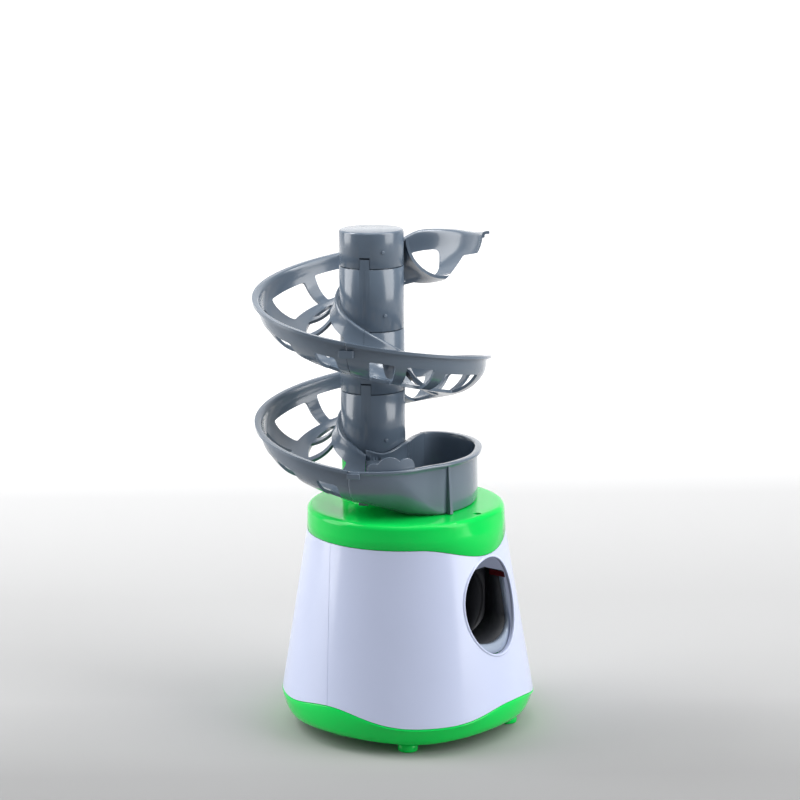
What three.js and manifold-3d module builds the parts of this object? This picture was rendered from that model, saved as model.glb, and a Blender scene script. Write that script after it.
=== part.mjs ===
import * as THREE from "three";
import { mergeVertices } from "three/addons/utils/BufferGeometryUtils.js";
import Module from "manifold-3d";

const wasm = await Module();
wasm.setup();

// Lengths in millimetres; the ball window faces -Y, up is +Z, and the body's axis is x = y = 0 while building
const ballRadius = 20;
const pieceGap = 0.3;
const overshoot = 2;

// Body of revolution: base tray, two shell halves, lid
const bodyRadiusAtFloor = 80.2;
const bodyShrinkShare = 0.1667;
const shellWall = 2.2;
const edgeLevel = 21.6;
const edgeWave = 4;
const trayRimRadius = 76.9;
const trayFlankRadius = 73.6;
const trayFlankLevel = 10.6;
const trayFloorRadius = 66;
const trayFloorLevel = 6.5;
const trayWall = 2.4;
const locatingLipHeight = 3;
const footRadius = 6;
const footCircleRadius = 62;
const footSinkRadius = 2.6;
const partingLeanShare = 0.095;
const lidTop = 136.2;
const lidEdgeLevel = 121.3;
const lidTongueDepth = 8.3;
const lidTopRadius = 57;
const lidShoulderRadius = 59.7;
const lidShoulderLevel = 132.4;
const lidFacetDepth = 1.2;
const lidWall = 2.2;
const slotLength = 5;
const slotWidth = 1.8;
const slotCircleRadius = 54;

// Ball window in the front shell
const windowHalfWidth = 22.4;
const windowHalfHeight = 27.8;
const windowLevel = 82.2;
const windowRimProud = 0.9;
const windowRimWidth = 1.8;

// Tower: column segments, helical trough
const towerBack = 24.5;
const halfPitch = 38;
const columnRadius = 19.5;
const columnWall = 2.2;
const hopperSeam = 165.2;
const capHeight = 21.5;
const capTopWall = 2;
const chuteRimLevel = 13;
const chuteCutLevels = [11, 10.5, 4.6, 2, -0.4, -14, -28];
const nubRadius = 1.1;
const nubProud = 0.7;
const nubRise = 9.6;
const spigotHeight = 5;
const spigotWall = 1.8;
const spigotRoot = 8;
const keyWidth = 6;
const keyHeight = 6.2;
const troughCentre = 45;
const troughOuter = 24;
const troughDepth = 21.8;
const troughWall = 1.8;
const lipReach = 3.3;
const lipThickness = 1.6;
const seamRise = 0.8;
const ledgeThickness = 1.8;
const clipWidth = 8.6;
const clipHeight = 4.6;
const clipThickness = 1.6;
const clipDrop = 2.4;

// Hopper
const hopperRim = 167.6;
const hopperOuter = 63.8;
const hopperInner = 20;
const hopperWall = 1.6;
const hopperCorner = 3;
const hopperLip = 2.2;
const hopperLipThickness = 2;
const hopperBackRadius = 50;
const collarHeight = 2;
const collarSkirt = 6;
const ribDepth = 3;
const ribWidth = 3.4;
const ribTaper = 0.9;
const inletRadius = 20.6;
const guardThickness = 1.2;
const guardFoot = 162;
const guardGap = 0.9;
const guardCrest = 175.4;
const guardShoulder = 168.4;

// Launch chamber and deck
const chamberBore = 21.2;
const chamberWall = 2;
const chamberFloor = 58;
const chamberFloorWall = 2;
const stopRidge = 1;
const snoutReach = 25;
const kickerSlotHalf = 6.2;
const kickerSlotBottom = 61;
const kickerSlotTop = 126;
const deckTop = 48.5;
const deckThickness = 2.5;
const deckHalfWidth = 27;
const deckFront = 45;
const deckBack = 56;
const deckLegRadius = 4;
const deckLegX = 22;
const deckLegY = 24;
const barrelLength = 9.6;
const barrelWall = 3.2;

// Gear train in the plane x = constant
const fineModule = 1;
const coarseModule = 1.5;
const toothBacklash = 0.16;
const kickerAxleY = 9.4;
const kickerAxleZ = 108;
const driveAxleZ = 98.4;
const idlerAxleZ = 74.8;
const motorAxleZ = 60.2;
const axleRadius = 1.6;
const axleClearance = 0.35;
const gearHubRadius = 4;
const sectorHalfThickness = 3;
const ringGearNear = 4.2;
const ringGearFar = 8.2;
const idlerGearNear = 9;
const idlerGearFar = 13;
const leftPlateOuter = -8.4;
const rightPlateInner = 15;
const plateThickness = 2;
const paddleHalfWidth = 5;
const paddleThickness = 3;
const paddleFoot = 68;
const paddleHeight = 24;
const armWidth = 5.5;
const springRadius = 2.3;
const springWire = 0.8;
const springNear = 5.4;
const springFar = 11.8;

// Motor
const motorRadius = 10;
const motorFlatHalf = 7.7;
const motorFront = 5;
const motorLength = 25;
const motorBossRadius = 3;
const motorBossLength = 2;
const motorShaftRadius = 1;
const cradleHalf = 8.4;
const cradleHeight = 8;
const cradleNear = -17;
const cradleFar = 2;

// Cells, battery box, door, contacts
const cellRadius = 7.1;
const cellLength = 49.2;
const cellTipRadius = 2.7;
const cellTipLength = 1.2;
const cellPitch = 14.7;
const boxWall = 1.6;
const boxHalfX = 27.6;
const boxHalfY = 30.2;
const boxRoof = 25.6;
const doorThickness = 1.8;
const doorHalfX = 26.4;
const doorHalfY = 29.2;
const doorGripLength = 14;
const doorGripWidth = 3;
const cellTipRoot = 1;
const contactThickness = 0.5;
const contactWidth = 11;
const contactBumpRadius = 3;
const contactBumpHeight = 1;

// Power button at the rear
const buttonLevel = 38.5;
const buttonRadius = 5;
const buttonFlange = 6.5;
const buttonFlangeThickness = 1.5;
const buttonProud = 3;
const buttonTravel = 2;
const sleeveWall = 1.7;
const sleeveLength = 9.4;
const switchHalf = 6.4;
const switchLength = 8;
const switchPlungerRadius = 2;
const switchPlungerLength = 1;

// Screws
const screwHeadRadius = 3.1;
const screwHeadHeight = 2;
const screwShankRadius = 1.4;
const screwLength = 11;
const screwCircleRadius = 63;
const screwRecess = 1.2;
const bossRadius = 4;
const bossTop = 36;
const bossWebHalf = 0.9;

// Angles and shares
const degree = Math.PI / 180;
const seamAzimuth = -154;
const quarterTurnAngle = 90;
const halfTurnAngle = 180;
const fullTurnAngle = 360;
const chuteAngle = 78;
const chuteLedgeAngle = 62;
const chuteRampAngle = 8;
const nubAzimuth = 36;
const hopperAngle = 146;
const hopperDropAngle = 46;
const hopperRoundAngle = 40;
const hopperTaperFromAngle = 25;
const hopperTaperAngle = 35;
const ribAzimuth = 52;
const guardFromAngle = 9.5;
const guardToAngle = 32;
const shelfInsetAngle = 6;
const shelfShortAngle = 10;
const ledgeInsetAngle = 6;
const chuteInsetAngle = 4;
const tongueHalfAngle = 46;
const facetHalfAngle = 22.5;
const footAzimuths = [38, 124, -142, -64];
const screwAzimuth = 68;
const slotAzimuth = -88.6;
const revolveSteps = 24;
const troughStepAngle = 9;
const columnSteps = 32;
const hopperSteps = 18;
const boreSteps = 30;
const pinSteps = 16;
const bossSteps = 24;
const buttonSteps = 28;
const motorSteps = 36;
const tipSteps = 12;
const wireSteps = 5;
const keySteps = 4;
const cornerSteps = 3;
const guardSteps = 21;
const shelfSteps = 24;
const outerWindowFromAngle = 19;
const outerWindowToAngle = 77;
const innerWindowFromAngle = 103;
const innerWindowToAngle = 150;
const bendAngles = [0, 19, 39, 59, 77, 103, 126, 150, 180];
const chuteBendAngles = [10, 14, 39, 65, 77, 103, 126, 150, 180];
const outerWindowAngles = [
  [11, 24],
  [30, 45],
  [52, 82],
  [96, 128],
  [133, 147],
  [162, 174],
];
const innerWindowAngles = [
  [24, 45],
  [52, 76],
  [84, 108],
  [114, 152],
];
const chuteOuterWindowAngles = [[155, 172]];
const chuteInnerWindowAngles = [[148, 168]];
const chuteCutAngles = [-4, 0, 12, 24, 33, 44, 46];
const pressureAngle = 20;
const addendumShare = 0.92;
const dedendumShare = 1.18;
const kickerTeeth = 14;
const sectorTeeth = 21;
const ringTeeth = 36;
const idlerPinionTeeth = 12;
const idlerTeeth = 30;
const motorTeeth = 10;
const sectorKept = 3;
const clipRootShare = 0.3;
const leastStepShare = 0.125;
const trayBendShare = 0.25;
const ridgePlaceShare = 0.8;
const hubReachShare = 1.6;
const plateBackShare = 2.6;
const plateFootShare = 0.6;
const contactReachShare = 0.85;
const guardLobeShares = [
  [0.14, 0.16, 0.45],
  [0.42, 0.26, 1],
  [0.78, 0.2, 0.72],
];

const halfOf = (length) => length / 2;
const bodyRadius = (z) => bodyRadiusAtFloor - bodyShrinkShare * z;

// Triangles to a solid, turned outwards
function toSolid(positions, index) {
  let volume = 0;
  for (let i = 0; i < index.length; i += 3) {
    const [a, b, c] = [index[i], index[i + 1], index[i + 2]].map((k) =>
      new THREE.Vector3().fromArray(positions, k * 3),
    );
    volume += a.dot(b.cross(c));
  }
  if (volume < 0) {
    for (let i = 0; i < index.length; i += 3) {
      [index[i + 1], index[i + 2]] = [index[i + 2], index[i + 1]];
    }
  }
  const shape = new THREE.BufferGeometry();
  shape.setAttribute("position", new THREE.Float32BufferAttribute(positions, 3));
  shape.setIndex(index);
  return solidOf(shape);
}

function solidOf(geometry, matrix) {
  const bare = new THREE.BufferGeometry();
  bare.setAttribute("position", geometry.getAttribute("position").clone());
  if (geometry.index) {
    bare.setIndex(geometry.index.clone());
  }
  if (matrix) {
    bare.applyMatrix4(matrix);
  }
  const merged = mergeVertices(bare);
  return new wasm.Manifold(
    new wasm.Mesh({
      numProp: 3,
      vertProperties: new Float32Array(merged.attributes.position.array),
      triVerts: new Uint32Array(merged.index.array),
    }),
  );
}

// A skin over sections of equally many points, capped at both ends or closed in a loop
function skin(sections, closed = false) {
  const count = sections[0].length;
  const positions = sections.flat(2);
  const index = [];
  const rows = closed ? sections.length : sections.length - 1;
  for (let i = 0; i < rows; i += 1) {
    const here = i * count;
    const there = ((i + 1) % sections.length) * count;
    for (let j = 0; j < count; j += 1) {
      const k = (j + 1) % count;
      index.push(here + j, here + k, there + k, here + j, there + k, there + j);
    }
  }
  if (!closed) {
    for (const [row, reverse] of [
      [0, true],
      [sections.length - 1, false],
    ]) {
      for (const face of capFaces(sections[row])) {
        const corners = face.map((k) => row * count + k);
        index.push(...(reverse ? corners.reverse() : corners));
      }
    }
  }
  return toSolid(positions, index);
}

function capFaces(points) {
  const corners = points.map((p) => new THREE.Vector3(...p));
  const normal = new THREE.Vector3();
  corners.forEach((p, i) => {
    normal.add(p.clone().cross(corners[(i + 1) % corners.length]));
  });
  normal.normalize();
  const side = Math.abs(normal.z) < 0.9 ? new THREE.Vector3(0, 0, 1) : new THREE.Vector3(1, 0, 0);
  const u = side.clone().cross(normal).normalize();
  const v = normal.clone().cross(u);
  const flat = corners.map((p) => new THREE.Vector2(p.dot(u), p.dot(v)));
  return THREE.ShapeUtils.triangulateShape(flat, []);
}

const polar = (radius, azimuth, z) => [
  radius * Math.cos(azimuth * degree),
  radius * Math.sin(azimuth * degree),
  z,
];

const steps = (from, to, count) =>
  Array.from({ length: count + 1 }, (_, i) => from + ((to - from) * i) / count);

// A section [radius, z] swept about Z between two azimuths; inset draws both end faces in by a length
const roundSteps = (count) => steps(0, fullTurnAngle, count).slice(0, -1);

function sweep(sectionAt, from, to, count, inset = 0) {
  const angles = steps(from, to, count);
  return skin(
    angles.map((angle, i) => {
      const sign = i === 0 ? 1 : i === angles.length - 1 ? -1 : 0;
      return sectionAt(angle).map(([r, z]) => polar(r, angle + (sign * inset) / r / degree, z));
    }),
  );
}

// A closed profile [radius, z] revolved all the way round
function ring(profile, segments, back = 0) {
  return skin(
    steps(0, fullTurnAngle, segments)
      .slice(0, -1)
      .map((angle) =>
        profile.map(([r, z]) => {
          const [x, y] = polar(r, angle, z);
          return [x, y + back, z];
        }),
      ),
    true,
  );
}

// Upright cylinder from one level to another
function cylinder(radius, from, to, segments, x = 0, y = 0) {
  const body = new THREE.CylinderGeometry(radius, radius, to - from, segments);
  body.rotateX(Math.PI / 2);
  body.translate(x, y, halfOf(from + to));
  return solidOf(body);
}

function box(x0, x1, y0, y1, z0, z1) {
  const body = new THREE.BoxGeometry(x1 - x0, y1 - y0, z1 - z0);
  body.translate(halfOf(x0 + x1), halfOf(y0 + y1), halfOf(z0 + z1));
  return solidOf(body);
}

// Along X from one x to another, at a point of the YZ plane
const boxAt = (halfX, halfY, z0, z1) => box(-halfX, halfX, -halfY, halfY, z0, z1);

function alongX(radius, from, to, y, z, segments) {
  const body = new THREE.CylinderGeometry(radius, radius, to - from, segments);
  body.rotateZ(Math.PI / 2);
  body.translate(halfOf(from + to), y, z);
  return solidOf(body);
}

function alongY(radius, from, to, x, z, segments) {
  const body = new THREE.CylinderGeometry(radius, radius, to - from, segments);
  body.translate(x, halfOf(from + to), z);
  return solidOf(body);
}

// An outline of the YZ plane extruded along X
function slab(outline, from, to) {
  return skin([from, to].map((x) => outline.map(([y, z]) => [x, y, z])));
}

// Involute gear outline with an optional run of kept teeth
function gearOutline(module, teeth, phase, kept = teeth) {
  const pitch = (module * teeth) / 2;
  const base = pitch * Math.cos(pressureAngle * degree);
  const tip = pitch + module * addendumShare;
  const root = pitch - module * dedendumShare;
  const involute = (angle) => Math.tan(angle) - angle;
  const half = Math.PI / (2 * teeth) - toothBacklash / (2 * pitch) + involute(pressureAngle * degree);
  const flank = (radius) => half - involute(Math.acos(Math.min(1, base / radius)));
  const start = Math.max(root, base);
  const points = [];
  for (let i = 0; i < teeth; i += 1) {
    const centre = phase * degree + (2 * Math.PI * (i - Math.floor(kept / 2))) / teeth;
    const rows = [root, halfOf(start + tip), tip];
    const arms = kept === teeth || i < kept ? rows : [root];
    const angles = arms.map((radius) => (radius === root ? flank(start) : flank(radius)));
    arms.forEach((radius, k) => points.push([radius, centre - angles[k]]));
    [...arms].reverse().forEach((radius, k) => points.push([radius, centre + angles[arms.length - 1 - k]]));
  }
  const clean = points.filter(([r, a], i) => {
    const [q, b] = points[(i + 1) % points.length];
    const apart = Math.hypot(r * Math.cos(a) - q * Math.cos(b), r * Math.sin(a) - q * Math.sin(b));
    return apart > toothBacklash * leastStepShare;
  });
  return clean.map(([r, a]) => [r * Math.cos(a), r * Math.sin(a)]);
}

const gear = (module, teeth, phase, from, to, y, z, kept) =>
  slab(
    gearOutline(module, teeth, phase, kept).map(([u, v]) => [y + u, z + v]),
    from,
    to,
  );

const group = new THREE.Group();
group.name = "table_tennis_robot";

function node(name, solid, look, place) {
  const made = solid.getMesh();
  const shape = new THREE.BufferGeometry();
  const bare = new Float32Array(made.numVert * 3);
  for (let i = 0; i < made.numVert; i += 1) {
    bare.set(made.vertProperties.subarray(i * made.numProp, i * made.numProp + 3), i * 3);
  }
  shape.setAttribute("position", new THREE.BufferAttribute(bare, 3));
  shape.setIndex(new THREE.BufferAttribute(new Uint32Array(made.triVerts), 1));
  shape.computeVertexNormals();
  const mesh = new THREE.Mesh(shape, new THREE.MeshStandardMaterial(look));
  mesh.name = name;
  if (place) {
    mesh.position.set(0, place.back, place.z);
    mesh.rotation.z = place.azimuth * degree;
  }
  group.add(mesh);
  return mesh;
}

const green = { color: 0x1ec44c, roughness: 0.28, metalness: 0 };
const white = { color: 0xd8dcec, roughness: 0.25, metalness: 0 };
const grey = { color: 0x6c7887, roughness: 0.3, metalness: 0.05 };
const paleGrey = { color: 0xa9b4c4, roughness: 0.4, metalness: 0 };
const black = { color: 0x17181b, roughness: 0.5, metalness: 0 };
const red = { color: 0x6e1717, roughness: 0.45, metalness: 0 };
const ivory = { color: 0xe6e2d4, roughness: 0.5, metalness: 0 };
const steel = { color: 0xb9bcc0, roughness: 0.3, metalness: 1 };
const cellBlue = { color: 0x2c4a86, roughness: 0.35, metalness: 0.3 };

// Angle between an azimuth and the front
function fromFront(azimuth) {
  const off = (azimuth + quarterTurnAngle) * degree;
  return Math.abs(Math.atan2(Math.sin(off), Math.cos(off))) / degree;
}

// Level of the line where tray and shell meet, and of the line where shell and lid meet
const trayEdge = (azimuth) => edgeLevel + edgeWave * Math.cos(4 * azimuth * degree);
function lidEdge(azimuth) {
  const share = Math.min(1, fromFront(azimuth) / tongueHalfAngle);
  return lidEdgeLevel - lidTongueDepth * halfOf(1 + Math.cos(Math.PI * share));
}

// Base tray: a shallow bowl with a waved rim, an inner locating lip and the battery box
function baseTray() {
  const rings = [];
  const all = roundSteps(revolveSteps * 2);
  const push = (radiusAt, levelAt) => rings.push(all.map((a) => polar(radiusAt(a), a, levelAt(a))));
  const flat = (value) => () => value;
  push(flat(trayFloorRadius), flat(trayFloorLevel));
  const rise = trayFlankLevel - trayFloorLevel;
  push(flat(halfOf(trayFloorRadius + trayFlankRadius)), flat(trayFloorLevel + rise * trayBendShare));
  push(flat(trayFlankRadius), flat(trayFlankLevel));
  push(
    flat(halfOf(trayRimRadius + trayFlankRadius) + pieceGap),
    (a) => halfOf(trayFlankLevel + trayEdge(a)) - pieceGap,
  );
  push((a) => trayRimRadius - bodyShrinkShare * (trayEdge(a) - edgeLevel), (a) => trayEdge(a));
  const seat = (a) => bodyRadius(trayEdge(a)) - shellWall - pieceGap * 2;
  push((a) => seat(a), (a) => trayEdge(a));
  push((a) => seat(a) - bodyShrinkShare * locatingLipHeight, (a) => trayEdge(a) + locatingLipHeight);
  push(
    (a) => seat(a) - halfOf(shellWall) - bodyShrinkShare * locatingLipHeight,
    (a) => trayEdge(a) + locatingLipHeight,
  );
  push(flat(trayFlankRadius - trayWall - pieceGap), flat(trayFlankLevel + halfOf(trayWall)));
  push(flat(trayFloorRadius - halfOf(trayWall)), flat(trayFloorLevel + trayWall));
  let tray = skin(rings);
  const doorTop = trayFloorLevel + doorThickness;
  const shell = boxAt(boxHalfX + boxWall, boxHalfY + boxWall, doorTop, boxRoof + boxWall);
  tray = tray.add(shell);
  tray = tray.subtract(boxAt(boxHalfX, boxHalfY, doorTop + pieceGap, boxRoof));
  tray = tray.subtract(
    boxAt(doorHalfX + pieceGap, doorHalfY + pieceGap, trayFloorLevel - overshoot, boxRoof - boxWall),
  );
  const seatLevel = screwSeat();
  for (const [x, y] of screwPlaces()) {
    const [low, high] = [trayFloorLevel + halfOf(trayWall), seatLevel + trayWall];
    tray = tray.add(cylinder(screwHeadRadius + trayWall, low, high, pinSteps, x, y));
    tray = tray.subtract(cylinder(screwShankRadius + pieceGap, 0, boxRoof, 12, x, y));
    tray = tray.subtract(cylinder(screwHeadRadius + pieceGap, 0, seatLevel, 16, x, y));
  }
  for (const azimuth of footAzimuths) {
    const [x, y] = polar(footCircleRadius, azimuth, 0);
    tray = tray.subtract(cylinder(footSinkRadius + pieceGap, 0, trayFloorLevel + trayWall * 2, 12, x, y));
  }
  return tray;
}

const screwSeat = () => trayFloorLevel + screwRecess + screwHeadHeight;
const screwPlaces = () =>
  [0, 1, 2, 3].map((i) => polar(screwCircleRadius, screwAzimuth + i * quarterTurnAngle, 0));

// Foot: a short round pad with a peg pressed through the tray floor
const foot = (x, y) =>
  cylinder(footRadius, 0, trayFloorLevel - pieceGap, 24, x, y).add(
    cylinder(footSinkRadius, 0, trayFloorLevel + trayWall, 12, x, y),
  );

// Half shells: a thin cone wall over a half turn, parted by a plane that leans back, with screw posts
const partingOff = (radius, level) =>
  Math.asin((partingLeanShare * (level - trayFloorLevel)) / radius) / degree;

function halfShell(side) {
  const levels = [edgeLevel, lidEdgeLevel];
  const sections = steps(0, 1, revolveSteps).map((share, i) => {
    const draw = i === 0 ? 1 : i === revolveSteps ? -1 : 0;
    const corner = (which, inset, levelAt) => {
      const off = partingOff(bodyRadius(levels[which]), levels[which]);
      const from = side > 0 ? off : -halfTurnAngle - off;
      const to = side > 0 ? halfTurnAngle - off : off;
      const azimuth = from + (to - from) * share;
      const level = levelAt(azimuth);
      const radius = bodyRadius(level) - inset;
      return polar(radius, azimuth + (draw * halfOf(pieceGap)) / radius / degree, level);
    };
    const low = (azimuth) => trayEdge(azimuth) + pieceGap;
    const high = (azimuth) => lidEdge(azimuth) - pieceGap;
    return [corner(0, 0, low), corner(1, 0, high), corner(1, shellWall, high), corner(0, shellWall, low)];
  });
  let shell = skin(sections);
  for (const [x, y] of screwPlaces().filter((place) => place[1] * side > 0)) {
    shell = shell.add(screwPost(x, y));
  }
  return shell;
}

// A post that a screw bites into, with a web to the shell's wall
function screwPost(x, y) {
  const azimuth = Math.atan2(y, x);
  const foot = screwSeat() + trayWall + pieceGap;
  const wall = bodyRadius(bossTop) - halfOf(shellWall);
  const tall = bossTop - edgeLevel - edgeWave * 2;
  const web = new THREE.BoxGeometry(wall - screwCircleRadius, bossWebHalf * 2, tall);
  web.translate(halfOf(wall + screwCircleRadius), 0, bossTop - halfOf(tall));
  web.rotateZ(azimuth);
  return cylinder(bossRadius, foot, bossTop, 16, x, y)
    .add(solidOf(web))
    .subtract(cylinder(screwShankRadius + pieceGap, foot - overshoot, bossTop - bossWebHalf, 12, x, y));
}

const ovalPoint = (angle, grow) => [
  (windowHalfWidth + grow) * Math.cos(angle * degree),
  windowLevel + (windowHalfHeight + grow) * Math.sin(angle * degree),
];

function frontShell() {
  const turns = roundSteps(boreSteps);
  const hole = skin(
    [-bodyRadiusAtFloor - overshoot, -windowHalfWidth].map((y) =>
      turns.map((t) => {
        const [x, z] = ovalPoint(t, 0);
        return [x, y, z];
      }),
    ),
  );
  const rim = skin(
    turns.map((t) =>
      [
        [0, windowRimProud],
        [windowRimWidth, windowRimProud],
        [windowRimWidth, -halfOf(shellWall)],
        [0, -halfOf(shellWall)],
      ].map(([grow, proud]) => {
        const [x, z] = ovalPoint(t, grow);
        return [x, -Math.sqrt((bodyRadius(z) + proud) ** 2 - x * x), z];
      }),
    ),
    true,
  );
  return halfShell(-1).subtract(hole).add(rim);
}

function rearShell() {
  const behind = bodyRadius(buttonLevel);
  const inner = behind - sleeveLength;
  const wall = halfShell(1);
  const sleeveRadius = buttonFlange + pieceGap + sleeveWall;
  const sleeve = alongY(sleeveRadius, inner, behind - halfOf(shellWall), 0, buttonLevel, buttonSteps);
  const bore = alongY(buttonFlange + pieceGap, inner - overshoot, behind - shellWall, 0, buttonLevel, 28);
  const holeRadius = buttonRadius + pieceGap;
  const hole = alongY(holeRadius, inner - overshoot, behind + overshoot * 2, 0, buttonLevel, buttonSteps);
  return wall.add(sleeve).subtract(bore).subtract(hole);
}

// Lid: a cap with a rounded shoulder, a tongue over the window, the green post and the ball inlet
function topLid() {
  const all = roundSteps(revolveSteps * 2);
  const rings = [];
  const push = (radiusAt, levelAt) => rings.push(all.map((a) => polar(radiusAt(a), a, levelAt(a))));
  const flat = (value) => () => value;
  const mid = halfOf(lidTopRadius + lidShoulderRadius) + pieceGap * 2;
  push(flat(lidTopRadius - lidWall), flat(lidTop - lidWall));
  const facet = (a) => lidFacetDepth * Math.max(0, 1 - (fromFront(a) / facetHalfAngle) ** 2);
  push((a) => lidShoulderRadius - lidWall - facet(a), flat(lidShoulderLevel - halfOf(lidWall)));
  push((a) => bodyRadius(lidEdge(a)) - lidWall, (a) => lidEdge(a));
  push((a) => bodyRadius(lidEdge(a)), (a) => lidEdge(a));
  push((a) => lidShoulderRadius - facet(a), flat(lidShoulderLevel));
  push((a) => mid - facet(a), flat(halfOf(lidTop + lidShoulderLevel) + pieceGap * 2));
  push((a) => lidTopRadius - facet(a), flat(lidTop));
  let lid = skin(rings);
  const post = ring(
    [
      [columnRadius, lidTop - lidWall],
      [columnRadius, hopperSeam - collarHeight - pieceGap],
      [columnRadius - columnWall, hopperSeam - collarHeight - pieceGap],
      [columnRadius - columnWall, lidTop - lidWall],
    ],
    columnSteps,
    towerBack,
  );
  lid = lid.add(post);
  const inletBack = towerBack - inletCircle();
  const inletFoot = lidTop - lidWall * 2;
  lid = lid.subtract(cylinder(inletRadius, inletFoot, lidTop + overshoot, boreSteps, 0, inletBack));
  const [x, y] = polar(slotCircleRadius, slotAzimuth, 0);
  const slot = new THREE.BoxGeometry(slotLength, slotWidth, lidWall * 3);
  slot.rotateZ((slotAzimuth + 90) * degree);
  slot.translate(x, y, lidTop - lidWall);
  return lid.subtract(solidOf(slot));
}

const inletCircle = () => halfOf(hopperOuter + hopperInner);

// Column segment with a spigot on top, a key on the rim and a notch for the key below
function column(from, to) {
  const inner = columnRadius - columnWall;
  const spigot = inner - pieceGap;
  let tube = ring(
    [
      [columnRadius, from],
      [columnRadius, to],
      [spigot, to],
      [spigot, to + spigotHeight],
      [spigot - spigotWall, to + spigotHeight],
      [spigot - spigotWall, to - spigotRoot],
      [inner, to - spigotRoot - spigotWall],
      [inner, from],
    ],
    columnSteps,
  );
  const half = halfOf(keyWidth) / columnRadius / degree;
  const wide = (halfOf(keyWidth) + pieceGap) / columnRadius / degree;
  const sector = (inside, outside, low, high) => () => [
    [outside, low],
    [outside, high],
    [inside, high],
    [inside, low],
  ];
  const key = sector(spigot - halfOf(spigotWall), columnRadius, to - halfOf(keyHeight), to + keyHeight - pieceGap);
  const notch = sector(inner - overshoot, columnRadius + overshoot, from - overshoot, from + keyHeight);
  tube = tube.add(sweep(key, halfTurnAngle - half, halfTurnAngle + half, keySteps));
  return tube.subtract(sweep(notch, -wide, wide, keySteps));
}

// Trough: an open U with an outward lip, wound about the column, with windows left open in it
const lipLevel = (angle) => halfPitch * (1 - angle / halfTurnAngle) + seamRise;

// Points of the outer and inner face of the U, row by row from the lip over the bottom to the inner edge
function troughRows(level, top, bends) {
  const wall = troughCentre + troughOuter;
  const arc = (inset) =>
    bends.map((a) => [
      troughCentre + (troughOuter - inset) * Math.cos(a * degree),
      level - (troughDepth - inset) * Math.sin(a * degree),
    ]);
  const outside = arc(0);
  const inside = arc(troughWall);
  outside[0][1] = top - lipThickness;
  inside[0][1] = top;
  outside[outside.length - 1][1] = level + seamRise;
  inside[inside.length - 1][1] = level + seamRise;
  return {
    outside: [[wall + lipReach, top - lipThickness], ...outside],
    inside: [[wall + lipReach, top], ...inside],
  };
}

function trough({ from, to, outerWindows, innerWindows, bends, topAt }) {
  const lines = new Set([from, to]);
  for (const [a, b] of [...outerWindows, ...innerWindows]) {
    lines.add(a);
    lines.add(b);
  }
  const sorted = [...lines].sort((a, b) => a - b).filter((a, i, all) => i === 0 || a - all[i - 1] > 0.2);
  const angles = sorted.flatMap((a, i) => {
    const next = sorted[i + 1];
    return next === undefined ? [a] : steps(a, next, Math.ceil((next - a) / troughStepAngle)).slice(0, -1);
  });
  const columns = angles.map((angle, i) => {
    const sign = i === 0 ? 1 : i === angles.length - 1 ? -1 : 0;
    const place = ([r, z]) => polar(r, angle + (sign * halfOf(pieceGap)) / r / degree, z);
    const { outside, inside } = troughRows(lipLevel(angle), topAt(angle), bends);
    return [...outside.map(place), ...inside.map(place)];
  });
  const rows = bends.length + 1;
  const rowAngle = (row) => (row === 0 ? 0 : (bends[row - 1] + bends[row]) / 2);
  const within = (value, ranges) => ranges.some(([a, b]) => value > a && value < b);
  const filled = (row, column) => {
    if (row < 0 || column < 0 || row >= rows - 1 || column >= angles.length - 1) {
      return false;
    }
    const middle = (angles[column] + angles[column + 1]) / 2;
    const bend = rowAngle(row);
    const outer = bend > outerWindowFromAngle && bend < outerWindowToAngle && within(middle, outerWindows);
    const inner = bend > innerWindowFromAngle && bend < innerWindowToAngle && within(middle, innerWindows);
    return !outer && !inner;
  };
  const at = (column, row, face) => column * rows * 2 + face * rows + row;
  const index = [];
  const quad = (a, b, c, d) => index.push(a, b, c, a, c, d);
  for (let column = 0; column < angles.length - 1; column += 1) {
    for (let row = 0; row < rows - 1; row += 1) {
      if (!filled(row, column)) {
        continue;
      }
      const [c, r] = [column, row];
      quad(at(c, r, 0), at(c + 1, r, 0), at(c + 1, r + 1, 0), at(c, r + 1, 0));
      quad(at(c, r + 1, 1), at(c + 1, r + 1, 1), at(c + 1, r, 1), at(c, r, 1));
      if (!filled(r - 1, c)) {
        quad(at(c, r, 1), at(c + 1, r, 1), at(c + 1, r, 0), at(c, r, 0));
      }
      if (!filled(r + 1, c)) {
        quad(at(c, r + 1, 0), at(c + 1, r + 1, 0), at(c + 1, r + 1, 1), at(c, r + 1, 1));
      }
      if (!filled(r, c - 1)) {
        quad(at(c, r, 0), at(c, r + 1, 0), at(c, r + 1, 1), at(c, r, 1));
      }
      if (!filled(r, c + 1)) {
        quad(at(c + 1, r, 1), at(c + 1, r + 1, 1), at(c + 1, r + 1, 0), at(c + 1, r, 0));
      }
    }
  }
  const used = [...new Set(index)].sort((a, b) => a - b);
  const renumbered = new Map(used.map((k, i) => [k, i]));
  const points = columns.flat();
  return toSolid(
    used.flatMap((k) => points[k]),
    index.map((k) => renumbered.get(k)),
  );
}

function ledge(from, to, inset) {
  const section = (angle) => {
    const top = lipLevel(angle) + halfOf(seamRise) / 2;
    const outside = troughCentre - troughOuter + halfOf(troughWall);
    const inside = columnRadius - halfOf(columnWall);
    return [
      [outside, top],
      [inside, top],
      [inside, top - ledgeThickness],
      [outside, top - ledgeThickness],
    ];
  };
  return sweep(section, from + inset, to - inset, Math.round(to - from) / 6);
}

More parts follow.
